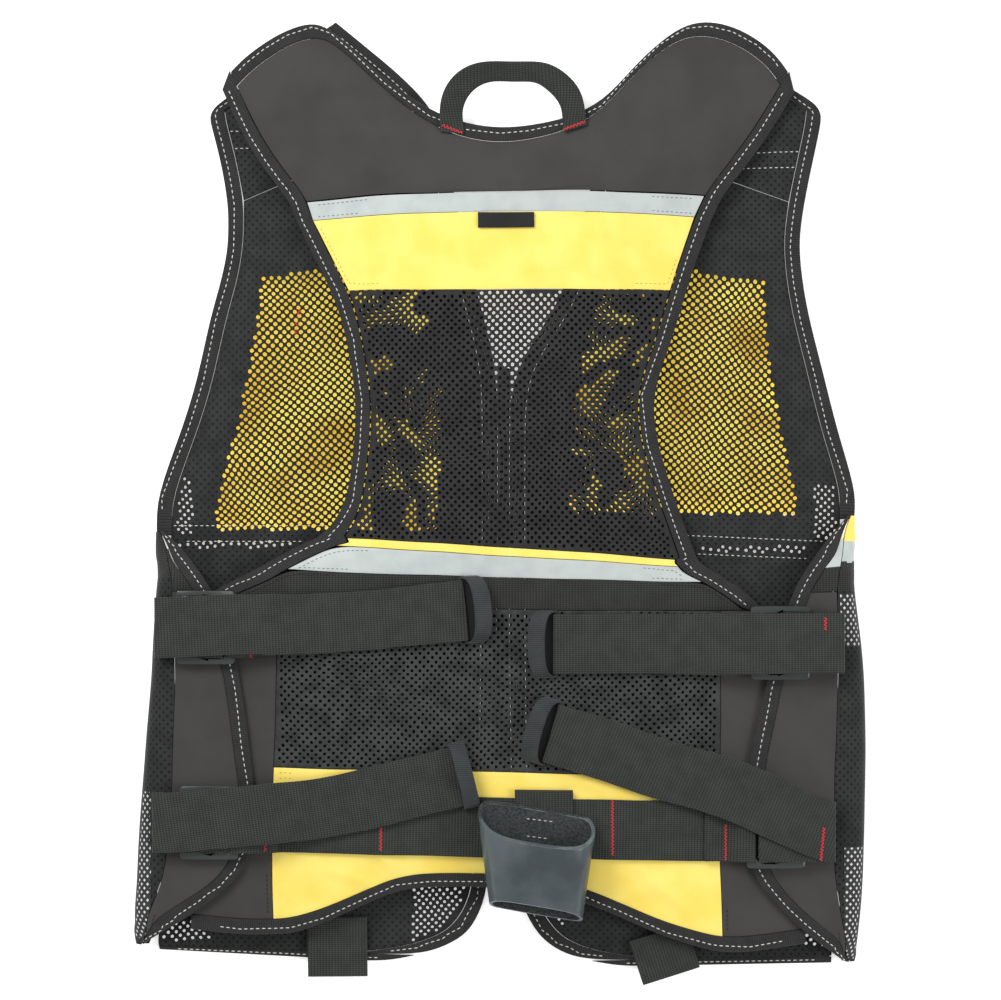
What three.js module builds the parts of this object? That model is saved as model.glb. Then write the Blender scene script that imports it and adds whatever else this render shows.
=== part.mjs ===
// A utility work vest that lies flat on its front, with its racerback back up.
// +X is to the right of someone who looks down on it, +Y towards its neck and +Z up, in millimetres.
import * as THREE from 'three';
import { mergeVertices } from 'three/addons/utils/BufferGeometryUtils.js';

// Overall sizes of the vest as it lies
const vestWidth = 467;
const vestLength = 610;

// Heights of the layers
const pocketDepth = 6.6;
const edgeHollow = 6.6;
const crownRise = 13;
const domeSquareness = 2.3;
const sideFoldDepth = 6;
const sideUnderlap = 13.6;

// Cloth, padding, binding and webbing
const meshWall = 1.6;
const fabricWall = 1.4;
const bandWall = 1.6;
const pipingWall = 2;
const yokePadWall = 7;
const shoulderPadWall = 5;
const pocketWall = 1.2;
const bindingWidth = 9.5;
const bindingWall = 3;
const webbingWidth = 38.1;
const webbingWall = 1.5;
const loopWebbingWidth = 15;
const hangLoopRise = 7;
const hangLoopTurn = 0.65;
const labelWall = 1.2;
const pocketInset = 0.166;
const pocketCorner = 0.012;
const seamGap = 0.35;
const layerGap = 0.45;

// Ladder-lock buckles and elastic keepers
const buckleLength = 37.5;
const buckleRail = 3.6;
const buckleBar = 4;
const buckleHeight = 3;
const slotClearance = 0.6;
const buckleSeat = 0.2;
const ribbonStep = 11;
const lapClearance = 0.25;
const neckMitre = 0.003;
const holdingReach = 26;
const keeperBand = 10;
const keeperHold = 0.25;
const keeperLean = 9;
const keeperEase = 0.6;
const keeperCrown = 0.7;
const keeperWall = 1.2;
const keeperArch = 10.5;

// Leather hammer loop
const hammerLoopWidth = 73;
const hammerLoopBand = 38;
const hammerLoopBackBand = 69;
const hammerLoopRise = 27;
const hammerLoopLean = 23;
const hammerLoopTaper = 0.2;
const leatherWall = 2.2;

// Turns rows of plain numbers into rows with named columns
function table(columns, rows) {
  return rows.map((row) => Object.fromEntries(columns.map((column, place) => [column, row[place]])));
}

// Rows of the back from the neck down, where x and sag are shares of the vest's width and length.
// lift is the share of the way from the shoulder's height to the back's, and rise the share of the crown.
const backRows = table(['leftX', 'leftY', 'rightX', 'rightY', 'sag', 'bow', 'lift', 'rise'], [
  [-0.378, 0.428, 0.402, 0.426, 0, 1, 0, 0.02],
  [-0.346, 0.376, 0.359, 0.373, 0, 0.56, 0.35, 0.3],
  [-0.307, 0.332, 0.319, 0.332, 0, 0.18, 0.75, 0.6],
  [-0.285, 0.309, 0.303, 0.315, 0.009, 0, 0.9, 0.75],
  [-0.276, 0.289, 0.288, 0.293, 0.009, 0, 1, 0.8],
  [-0.229, 0.217, 0.255, 0.218, 0.001, 0, 1, 0.92],
  [-0.206, 0.166, 0.235, 0.168, 0, 0, 1, 0.96],
  [-0.195, 0.104, 0.207, 0.109, 0, 0, 1, 1],
  [-0.197, 0.052, 0.214, 0.057, 0, 0, 1, 1],
  [-0.207, -0.001, 0.239, -0.001, 0, 0, 1, 1],
  [-0.247, -0.039, 0.271, -0.064, 0.002, 0, 1, 1],
  [-0.267, -0.046, 0.282, -0.071, 0, 0, 1, 1],
  [-0.329, -0.072, 0.314, -0.086, -0.002, 0, 1, 1],
  [-0.407, -0.111, 0.360, -0.116, -0.001, 0, 1, 1],
  [-0.414, -0.198, 0.409, -0.198, 0, 0, 1, 1],
  [-0.414, -0.278, 0.412, -0.290, 0.001, 0, 1, 1],
  [-0.418, -0.365, 0.417, -0.375, 0, 0, 1, 0.8],
  [-0.421, -0.448, 0.417, -0.463, 0, 1, 0.85, 0.1],
]);
const rowNames = ['neck', 'lobe', 'blade', 'tapeTop', 'tapeEnd', 'meshTop', 'chestHigh', 'chest', 'chestLow',
  'waistHigh', 'pipingTop', 'pipingEnd', 'waistTapeEnd', 'bandEnd', 'side', 'yellowTop', 'belt', 'hem'];
const backRow = Object.fromEntries(rowNames.map((name, place) => [name, place]));

// The neck with its two shoulder lobes, and the hem, each from left to right
const neckCurve = table(['across', 'x', 'y'], [
  [0, -0.378, 0.428], [0.04, -0.364, 0.449], [0.09, -0.333, 0.470], [0.15, -0.292, 0.490], [0.2, -0.255, 0.499], [0.24, -0.228, 0.491],
  [0.28, -0.193, 0.466], [0.33, -0.149, 0.434], [0.39, -0.081, 0.401], [0.45, -0.029, 0.390], [0.5, 0.014, 0.388],
  [0.56, 0.066, 0.394], [0.61, 0.126, 0.406], [0.66, 0.167, 0.439], [0.71, 0.212, 0.474], [0.76, 0.251, 0.496],
  [0.81, 0.284, 0.500], [0.87, 0.324, 0.493], [0.93, 0.365, 0.473], [0.97, 0.390, 0.453], [1, 0.402, 0.426],
]);
const hemCurve = table(['across', 'x', 'y'], [
  [0, -0.421, -0.448], [0.08, -0.353, -0.455], [0.16, -0.285, -0.453], [0.22, -0.241, -0.443], [0.28, -0.193, -0.425],
  [0.34, -0.142, -0.407], [0.4, -0.088, -0.403], [0.47, -0.027, -0.403], [0.55, 0.041, -0.406], [0.63, 0.110, -0.417],
  [0.7, 0.171, -0.437], [0.77, 0.229, -0.458], [0.84, 0.289, -0.470], [0.91, 0.341, -0.473], [1, 0.417, -0.463],
]);

// Inner seams of the two grey side strips of the lower back
const stripSeams = table(['row', 'left', 'right'], [
  [13, -0.303, 0.300], [14, -0.303, 0.300], [15, -0.307, 0.300], [16, -0.310, 0.299], [17, -0.312, 0.301],
]);

// Folds and dents of the back: place, direction in degrees, half length, half width and height
const backFolds = table(['x', 'y', 'angle', 'length', 'width', 'height'], [
  [0.131, 0.353, -65, 0.06, 0.03, 0.12],
  [0.153, 0.260, -55, 0.05, 0.03, 0.12],
  [-0.095, 0.348, 60, 0.05, 0.04, -0.08],
  [-0.135, 0.176, 20, 0.1, 0.03, 0.06],
  [0.150, 0.083, 70, 0.12, 0.04, -0.08],
  [-0.176, 0.020, 75, 0.08, 0.03, 0.08],
  [-0.095, -0.188, 50, 0.12, 0.05, -0.1],
  [0.164, -0.167, -35, 0.1, 0.04, 0.1],
  [-0.231, -0.240, 15, 0.1, 0.04, -0.08],
  [-0.135, -0.386, 80, 0.04, 0.04, 0.08],
  [0.218, -0.406, 70, 0.05, 0.04, 0.1],
]);

// Rows of each front from the shoulder down: armhole or side edge, then neck or centre edge.
// lift is the share of the height over a full pocket.
const frontColumns = ['outerX', 'outerY', 'innerX', 'innerY', 'lift'];
const frontRows = {
  left: table(frontColumns, [
    [-0.379, 0.418, -0.224, 0.500, 0],
    [-0.397, 0.402, -0.173, 0.468, 0],
    [-0.388, 0.374, -0.129, 0.439, 0],
    [-0.371, 0.306, -0.085, 0.398, 0],
    [-0.372, 0.260, -0.067, 0.338, 1],
    [-0.397, 0.187, -0.029, 0.210, 1],
    [-0.413, 0.126, -0.003, 0.140, 1],
    [-0.435, 0.072, -0.003, 0.072, 1],
    [-0.470, 0.002, -0.003, 0.002, 1],
    [-0.469, -0.032, -0.003, -0.032, 1],
    [-0.435, -0.065, -0.003, -0.084, 0.9],
    [-0.440, -0.146, -0.005, -0.146, 0.8],
    [-0.451, -0.271, -0.006, -0.271, 0.8],
    [-0.462, -0.375, -0.013, -0.375, 0.8],
    [-0.465, -0.422, -0.018, -0.417, 0.5],
    [-0.466, -0.448, -0.037, -0.448, 0.3],
    [-0.467, -0.464, -0.081, -0.470, 0],
    [-0.465, -0.471, -0.156, -0.484, 0],
  ]),
  right: table(frontColumns, [
    [0.425, 0.419, 0.280, 0.482, 0],
    [0.441, 0.403, 0.229, 0.445, 0],
    [0.433, 0.369, 0.191, 0.421, 0],
    [0.416, 0.306, 0.145, 0.379, 0],
    [0.410, 0.260, 0.123, 0.322, 1],
    [0.425, 0.185, 0.082, 0.202, 1],
    [0.444, 0.130, 0.016, 0.137, 1],
    [0.462, 0.072, 0.014, 0.072, 1],
    [0.488, 0.010, 0.014, 0.010, 1],
    [0.486, -0.015, 0.014, -0.015, 1],
    [0.451, -0.059, 0.014, -0.084, 0.9],
    [0.461, -0.146, 0.014, -0.146, 0.8],
    [0.467, -0.271, 0.016, -0.271, 0.8],
    [0.465, -0.375, 0.020, -0.375, 0.8],
    [0.462, -0.422, 0.025, -0.417, 0.5],
    [0.458, -0.450, 0.048, -0.451, 0.3],
    [0.455, -0.471, 0.090, -0.476, 0],
    [0.454, -0.485, 0.164, -0.489, 0],
  ]),
};
const frontRow = { shoulder: 0, yokeSeam: 3, pocketTop: 4.5, centreTop: 6, pocketEnd: 9, armholeEnd: 9, hemSlope: 14, hem: 17 };

// Rows of each side wing, which folds round from the front and laps over the back: the fold, then the bound
// edge. under and height are shares of the underlap and of the full height at the fold.
const wingColumns = ['foldX', 'foldY', 'edgeX', 'edgeY', 'under', 'height'];
const wingRows = {
  left: table(wingColumns, [
    [-0.470, -0.034, -0.461, -0.033, 0.15, 0.15],
    [-0.470, -0.053, -0.437, -0.048, 0.45, 0.5],
    [-0.467, -0.079, -0.405, -0.079, 0.92, 1],
    [-0.470, -0.096, -0.391, -0.096, 1, 1],
    [-0.474, -0.146, -0.364, -0.146, 1, 1],
    [-0.478, -0.198, -0.349, -0.198, 1, 1],
    [-0.484, -0.255, -0.341, -0.255, 1, 1],
    [-0.489, -0.313, -0.330, -0.307, 1, 1],
    [-0.495, -0.365, -0.337, -0.365, 1, 1],
    [-0.497, -0.401, -0.369, -0.404, 1, 1],
    [-0.499, -0.432, -0.424, -0.434, 1, 1],
    [-0.499, -0.453, -0.466, -0.452, 0.9, 0.6],
    [-0.497, -0.465, -0.485, -0.461, 0.6, 0.2],
  ]),
  right: table(wingColumns, [
    [0.486, -0.017, 0.477, -0.016, 0.15, 0.15],
    [0.486, -0.042, 0.448, -0.042, 0.45, 0.5],
    [0.485, -0.070, 0.417, -0.073, 0.92, 1],
    [0.485, -0.096, 0.399, -0.098, 1, 1],
    [0.495, -0.146, 0.378, -0.146, 1, 1],
    [0.500, -0.198, 0.360, -0.198, 1, 1],
    [0.501, -0.255, 0.346, -0.255, 1, 1],
    [0.500, -0.313, 0.333, -0.307, 1, 1],
    [0.499, -0.375, 0.338, -0.375, 1, 1],
    [0.496, -0.417, 0.371, -0.417, 1, 1],
    [0.492, -0.448, 0.412, -0.448, 1, 1],
    [0.489, -0.471, 0.452, -0.471, 0.9, 0.6],
    [0.486, -0.483, 0.474, -0.483, 0.6, 0.2],
  ]),
};
const wingRow = { tip: 0, bandTop: 1, tapeEnd: 2, bandEnd: 3, corner: 11.2, end: 12 };

// The four adjusters: the buckle's inner end, the strap's fold, and its run across the back to the keeper
const adjusters = {
  upper_left: { shelf: 3, lean: 1, buckle: [-0.359, -0.133], fold: [-0.467, -0.126], run: [[-0.258, -0.130], [-0.135, -0.122], [-0.046, -0.115]] },
  upper_right: { shelf: 3, lean: 1, buckle: [0.341, -0.149], fold: [0.467, -0.150], run: [[0.246, -0.150], [0.150, -0.150], [0.073, -0.150]] },
  lower_left: { shelf: 14, lean: 0.15, buckle: [-0.354, -0.336], fold: [-0.470, -0.336], run: [[-0.251, -0.322], [-0.156, -0.306], [-0.054, -0.287]] },
  lower_right: { shelf: 3, lean: 1, buckle: [0.335, -0.345], fold: [0.455, -0.343], run: [[0.232, -0.283], [0.150, -0.261], [0.069, -0.242]] },
};

// Webbing hang loop at the neck, and the webbing loops that hang past the front hem
const hangLoopRoute = [[-0.065, 0.383], [-0.062, 0.407], [-0.043, 0.428], [-0.016, 0.442], [0.017, 0.446], [0.052, 0.442],
  [0.074, 0.428], [0.093, 0.412], [0.103, 0.387]];
const hemLoops = {
  left: { top: [-0.222, -0.437], end: [-0.221, -0.498] },
  right: { top: [0.216, -0.453], end: [0.235, -0.498] },
};

// Places of the sewn-on pieces
const labelSpan = { left: -0.029, right: 0.047, top: 0.299, end: 0.283 };
const hangerSpan = { left: 0.020, right: 0.099, top: -0.301, end: -0.352 };
const hammerLoopTop = [0.050, -0.319];

// Heights that follow from the sizes above
const bindingHeight = bindingWall / 2;
const frontLift = pocketDepth + layerGap + meshWall / 2;
const shoulderHeight = shoulderPadWall / 2 + layerGap;
const lobeHeight = shoulderHeight + shoulderPadWall / 2 + layerGap + yokePadWall / 2;
const backLift = frontLift + meshWall / 2 + edgeHollow;
const wingLap = bindingWall + layerGap + lapClearance;
const wingTop = wingLap + bindingWall / 2;

// Materials, in the colours of the cloth
function finish(color, roughness) {
  return new THREE.MeshStandardMaterial({ color, roughness, metalness: 0 });
}
const greyFabric = finish(0x484444, 0.9);
const blackMesh = finish(0x2a2a2c, 0.9);
const blackBinding = finish(0x2e312f, 0.85);
const blackWebbing = finish(0x303331, 0.85);
const yellowFabric = finish(0xf6df55, 0.75);
const reflective = finish(0xcdd5d7, 0.35);
const ribbedBand = finish(0x363634, 0.9);
const elastic = finish(0x3a4143, 0.8);
const plastic = finish(0x3c4544, 0.45);
const leather = finish(0x30363a, 0.5);
const label = finish(0x1c1c1d, 0.8);

const vest = new THREE.Group();

// Adds one closed piece, with its faces turned outwards
function addPiece(name, geometry, material) {
  geometry.deleteAttribute('normal');
  geometry.deleteAttribute('uv');
  geometry.clearGroups();
  const merged = mergeVertices(geometry, 1e-4);
  const place = merged.attributes.position;
  const index = merged.index.array;
  const corners = [new THREE.Vector3(), new THREE.Vector3(), new THREE.Vector3()];
  let volume = 0;
  for (let face = 0; face < index.length; face += 3) {
    corners.forEach((corner, turn) => corner.fromBufferAttribute(place, index[face + turn]));
    volume += corners[0].dot(corners[1].clone().cross(corners[2]));
  }
  if (volume < 0) {
    index.reverse();
  }
  merged.computeVertexNormals();
  const mesh = new THREE.Mesh(merged, material);
  mesh.name = name;
  vest.add(mesh);
}

const clamp = THREE.MathUtils.clamp;
const lerp = THREE.MathUtils.lerp;
const smooth = THREE.MathUtils.smoothstep;

function steps(from, to, count) {
  return Array.from({ length: count + 1 }, (_, step) => lerp(from, to, step / count));
}

// A smooth curve through the values of one column, at a row number that may lie between two rows.
// It never swings past the rows' own values.
function column(rows, name, row) {
  const last = rows.length - 1;
  const low = clamp(Math.floor(row), 0, last - 1);
  const part = row - low;
  const change = (place) => rows[place + 1][name] - rows[place][name];
  const slope = (place) => {
    if (place === 0) {
      return change(0);
    }
    if (place === last) {
      return change(last - 1);
    }
    const before = change(place - 1);
    const after = change(place);
    return before * after > 0 ? 2 * before * after / (before + after) : 0;
  };
  const square = part * part;
  const cube = square * part;
  return (2 * cube - 3 * square + 1) * rows[low][name] + (cube - 2 * square + part) * slope(low)
    + (3 * square - 2 * cube) * rows[low + 1][name] + (cube - square) * slope(low + 1);
}

// The same, straight between the rows, for heights and shares
function level(rows, name, row) {
  const low = clamp(Math.floor(row), 0, rows.length - 2);
  return lerp(rows[low][name], rows[low + 1][name], clamp(row - low, 0, 1));
}

// A point of a curve given as a table, at a share of the way across
function curvePoint(curve, across) {
  let low = 0;
  while (low < curve.length - 2 && curve[low + 1].across < across) {
    low += 1;
  }
  const row = low + (across - curve[low].across) / (curve[low + 1].across - curve[low].across);
  return new THREE.Vector2(column(curve, 'x', row) * vestWidth, column(curve, 'y', row) * vestLength);
}

// How far a curve bows away from the straight line between its ends
function bowOf(curve, across) {
  const start = curve[0];
  const end = curve[curve.length - 1];
  const line = new THREE.Vector2(
    lerp(start.x, end.x, across) * vestWidth,
    lerp(start.y, end.y, across) * vestLength,
  );
  return curvePoint(curve, across).sub(line);
}

function foldHeight(folds, x, y) {
  let height = 0;
  for (const fold of folds) {
    const turn = THREE.MathUtils.degToRad(fold.angle);
    const dx = x - fold.x * vestWidth;
    const dy = y - fold.y * vestLength;
    const along = (dx * Math.cos(turn) + dy * Math.sin(turn)) / (fold.length * vestLength);
    const over = (dy * Math.cos(turn) - dx * Math.sin(turn)) / (fold.width * vestLength);
    height += fold.height * crownRise * Math.exp(-along * along - over * over);
  }
  return height;
}

// The middle of the back's cloth, at a share of the way from its left edge to its right, and at a row
function backPoint(across, row) {
  const point = new THREE.Vector3(
    lerp(column(backRows, 'leftX', row), column(backRows, 'rightX', row), across) * vestWidth,
    lerp(column(backRows, 'leftY', row), column(backRows, 'rightY', row), across) * vestLength,
    0,
  );
  point.y += 4 * across * (1 - across) * level(backRows, 'sag', row) * vestLength;
  const bow = level(backRows, 'bow', row);
  if (bow > 0) {
    const curve = row < backRow.tapeTop ? neckCurve : hemCurve;
    const offset = bowOf(curve, clamp(across, 0, 1)).multiplyScalar(bow);
    point.x += offset.x;
    point.y += offset.y;
  }
  const side = Math.abs(2 * clamp(across, 0, 1) - 1);
  const dome = (1 - side ** domeSquareness) * level(backRows, 'rise', row) * crownRise;
  point.z = lerp(lobeHeight, backLift, level(backRows, 'lift', row)) + dome + foldHeight(backFolds, point.x, point.y);
  return point;
}

// The height of the middle of the back's cloth over a place, and level with its edge beyond it
function backHeight(x, y) {
  let low = backRow.neck;
  let high = backRow.hem;
  let across = 0.5;
  for (let turn = 0; turn < 24; turn += 1) {
    const row = (low + high) / 2;
    const left = column(backRows, 'leftX', row) * vestWidth;
    const right = column(backRows, 'rightX', row) * vestWidth;
    across = clamp((x - left) / (right - left), 0, 1);
    if (backPoint(across, row).y > y) {
      low = row;
    } else {
      high = row;
    }
  }
  return backPoint(across, (low + high) / 2).z;
}

// The share of a row's length that a strip of the given width takes beside its edge, square to that edge
function edgeShare(pointAt, across, row, width) {
  const inward = across < 0.5 ? 1 : -1;
  const small = 1e-3;
  const edge = pointAt(across, row);
  const step = pointAt(across + inward * small, row).sub(edge).setZ(0);
  const along = pointAt(across, row + small).sub(pointAt(across, row - small)).setZ(0).normalize();
  const square = Math.abs(step.x * along.y - step.y * along.x);
  return width * small / Math.max(square, 1e-6);
}

// A cloth piece over a grid of stations, with its wall to both sides of its middle
function addSheet(name, material, pointAt, acrossStations, rowStations, wall, upright = false) {
  const geometry = new THREE.BoxGeometry(1, 1, 1, acrossStations.length - 1, rowStations.length - 1, 1);
  const place = geometry.attributes.position;
  const small = 1e-3;
  for (let corner = 0; corner < place.count; corner += 1) {
    const across = acrossStations[Math.round((place.getX(corner) + 0.5) * (acrossStations.length - 1))];
    const row = rowStations[Math.round((place.getY(corner) + 0.5) * (rowStations.length - 1))];
    const point = pointAt(across, row);
    const acrossStep = pointAt(across + small, row).sub(pointAt(across - small, row));
    const rowStep = pointAt(across, row + small).sub(pointAt(across, row - small));
    const normal = upright ? new THREE.Vector3(0, 0, 1) : acrossStep.cross(rowStep).normalize();
    const thickness = typeof wall === 'function' ? wall(across, row) : wall;
    point.addScaledVector(normal, place.getZ(corner) * thickness);
    place.setXYZ(corner, point.x, point.y, point.z);
  }
  addPiece(name, geometry, material);
}

// The row at a measured distance along the cloth from the start row, towards the end row
function rowAway(pointAt, across, startRow, endRow, distance) {
  const start = pointAt(across, startRow);
  let near = 0;
  let far = 1;
  for (let turn = 0; turn < 22; turn += 1) {
    const part = (near + far) / 2;
    if (pointAt(across, lerp(startRow, endRow, part)).distanceTo(start) < distance) {
      near = part;
    } else {
      far = part;
    }
  }
  return lerp(startRow, endRow, near);
}

// Rows at which the pieces of the back have their stations, so that neighbours bend together
const backStations = [0, 0.3, 0.65, 1, 1.5, 2, 2.5, 3, 4, 4.5, 5, 6, 7, 8, 9, 9.5, 9.8, 9.9, 10, 10.5, 11, 11.5,
  12, 12.33, 12.67, 13];
function stationsBetween(list, from, to) {
  return [from, ...list.filter((row) => row > from + 0.05 && row < to - 0.05), to];
}

// A panel of the back between two rows, inside its bound edges
const panelAcross = steps(0, 1, 12);
function addBackPanel(name, material, from, to, wall) {
  const span = (share, row) => {
    const leftEdge = edgeShare(backPoint, 0, row, bindingWidth + 2 * seamGap);
    const rightEdge = edgeShare(backPoint, 1, row, bindingWidth + 2 * seamGap);
    return backPoint(lerp(leftEdge, 1 - rightEdge, share), row);
  };
  addSheet(name, material, span, panelAcross, stationsBetween(backStations, below(from), above(to)), wall, true);
}

// Row numbers moved by half a seam's gap, so that neighbours don't touch
const below = (row) => rowAway(backPoint, 0.5, row, row + 1, seamGap / 2);
const above = (row) => rowAway(backPoint, 0.5, row, row - 1, seamGap / 2);

// The padded yoke thins out to its bound edges and to its seam
const neckStations = [0, 0.03, 0.07, 0.12, 0.17, 0.21, 0.25, 0.3, 0.36, 0.42, 0.48, 0.53, 0.58, 0.63, 0.68, 0.73,
  0.78, 0.83, 0.88, 0.93, 0.97, 1];
const neckAcross = (share, row) => {
  const left = edgeShare(backPoint, 0, Math.max(row, 0.05), bindingWidth + seamGap);
  const right = edgeShare(backPoint, 1, Math.max(row, 0.05), bindingWidth + seamGap);
  return lerp(left, 1 - right, share);
};
const neckInset = (share, width) => rowAway(backPoint, neckAcross(share, 0), backRow.neck, backRow.blade, width);
const yokePoint = (share, depth) => {
  const row = lerp(neckInset(share, bindingWidth + seamGap), above(backRow.tapeTop), depth);
  const followTop = (1 - depth) * smooth(Math.min(share, 1 - share), 0, 0.1);
  return backPoint(lerp(neckAcross(share, row), neckAcross(share, 0), followTop), row);
};
const yokeWall = (share, depth) => {
  const side = smooth(Math.min(share, 1 - share), 0, 0.08);
  const ends = smooth(depth, 0, 0.3) * (1 - smooth(depth, 0.8, 1));
  return lerp(bandWall, yokePadWall, Math.sqrt(side * ends));
};
addSheet('back_yoke', greyFabric, yokePoint, neckStations, [0, 0.14, 0.35, 0.6, 0.82, 1], yokeWall, true);

addBackPanel('yoke_reflective_tape', reflective, backRow.tapeTop, backRow.tapeEnd, bandWall);
addBackPanel('yoke_yellow_band', yellowFabric, backRow.tapeEnd, backRow.meshTop, fabricWall);
addBackPanel('back_mesh_upper', blackMesh, backRow.meshTop, backRow.pipingTop, meshWall);
addBackPanel('waist_yellow_piping', yellowFabric, backRow.pipingTop, backRow.pipingEnd, pipingWall);
addBackPanel('waist_reflective_tape', reflective, backRow.pipingEnd, backRow.waistTapeEnd, bandWall);
addBackPanel('waist_band', ribbedBand, backRow.waistTapeEnd, backRow.bandEnd, bandWall);

// The lower back: two grey side strips, a mesh panel and a yellow panel
function stripShare(side, row) {
  const at = row - backRow.bandEnd;
  const x = level(stripSeams, side, at) * vestWidth;
  const left = column(backRows, 'leftX', row) * vestWidth;
  const right = column(backRows, 'rightX', row) * vestWidth;
  return (x - left) / (right - left);
}
const hemInset = (across, width) => rowAway(backPoint, across, backRow.hem, backRow.belt, width);
const hemAcross = hemCurve.map((spot) => spot.across)
  .concat([stripShare('left', backRow.hem), stripShare('right', backRow.hem)]).sort((one, two) => one - two);
function lowerPanel(name, material, leftShare, rightShare, from, to, wall) {
  const low = leftShare(backRow.hem);
  const high = rightShare(backRow.hem);
  const inner = hemAcross.filter((across) => across > low + 0.02 && across < high - 0.02);
  const stations = [0, ...inner, 1];
  const point = (station, depth) => {
    const near = (row) => {
      const halfGap = seamGap / 2 / backPoint(0, row).distanceTo(backPoint(1, row));
      const left = leftShare(row) + halfGap;
      const right = rightShare(row) - halfGap;
      return station === 0 || station === 1 ? lerp(left, right, station) : clamp(station, left, right);
    };
    const share = clamp(near(backRow.hem), 0.01, 0.99);
    const end = to === backRow.hem ? hemInset(share, bindingWidth + seamGap) : above(to);
    const row = lerp(below(from), end, depth);
    return backPoint(near(row), row);
  };
  const rows = steps(0, 1, Math.round((to - from) * 2));
  addSheet(name, material, point, stations, rows, wall, true);
}
const leftSeam = (row) => stripShare('left', row);
const rightSeam = (row) => stripShare('right', row);
lowerPanel('back_mesh_lower', blackMesh, leftSeam, rightSeam, backRow.bandEnd, backRow.yellowTop, meshWall);
lowerPanel('lower_yellow_panel', yellowFabric, leftSeam, rightSeam, backRow.yellowTop, backRow.hem, fabricWall);
lowerPanel('back_side_strip_left', greyFabric, () => 0, leftSeam, backRow.bandEnd, backRow.hem, fabricWall);
lowerPanel('back_side_strip_right', greyFabric, rightSeam, () => 1, backRow.bandEnd, backRow.hem, fabricWall);

// Bindings of the back: over the neck and lobes, down both armholes and along the hem
const neckStrip = (share, depth) => {
  const inside = lerp(neckMitre, 1 - neckMitre, share);
  const row = depth === 0 ? 0 : neckInset(inside, bindingWidth);
  return backPoint(neckAcross(inside, 0), row);
};
addSheet('neck_binding', blackBinding, neckStrip, neckStations, [0, 1], bindingWall, true);
const hemStrip = (across, depth) => {
  const row = depth === 1 ? backRow.hem : hemInset(clamp(across, 0.01, 0.99), bindingWidth);
  return backPoint(across, row);
};
addSheet('back_hem_binding', blackBinding, hemStrip, hemAcross, [0, 1], bindingWall, true);
for (const [side, edge] of [['left', 0], ['right', 1]]) {
  const strip = (share, row) => {
    const width = edgeShare(backPoint, edge, Math.max(row, 0.05), bindingWidth);
    return backPoint(edge === 0 ? share * width : 1 - share * width, row);
  };
  addSheet(`armhole_binding_${side}`, blackBinding, strip, [0, 1],
    stationsBetween(backStations, 0, above(backRow.bandEnd)), bindingWall, true);
}

// The fronts: mirror rows share one description of the cloth's middle
function frontPoint(side, across, row) {
  const rows = frontRows[side];
  const point = new THREE.Vector3(
    lerp(column(rows, 'outerX', row), column(rows, 'innerX', row), across) * vestWidth,
    lerp(column(rows, 'outerY', row), column(rows, 'innerY', row), across) * vestLength,
    0,
  );
  const length = Math.abs(column(rows, 'innerX', row) - column(rows, 'outerX', row)) * vestWidth;
  const nearest = Math.min(across, 1 - across) * length;
  const rampStart = bindingWidth * 1.1;
  const ramp = smooth(nearest, rampStart, rampStart + bindingWidth);
  const full = lerp(shoulderHeight, frontLift, level(rows, 'lift', row));
  const low = row > frontRow.hemSlope ? lerp(bindingHeight, full, level(rows, 'lift', row)) : full;
  point.z = lerp(bindingHeight, low, ramp);
  return point;
}
function frontHeight(side, x, y) {
  const rows = frontRows[side];
  let low = 0;
  let high = rows.length - 1;
  let across = 0.5;
  for (let turn = 0; turn < 24; turn += 1) {
    const row = (low + high) / 2;
    const outer = column(rows, 'outerX', row) * vestWidth;
    const inner = column(rows, 'innerX', row) * vestWidth;
    across = clamp((x - outer) / (inner - outer), 0, 1);
    if (frontPoint(side, across, row).y > y) {
      low = row;
    } else {
      high = row;
    }
  }
  return frontPoint(side, across, (low + high) / 2).z;
}

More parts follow.
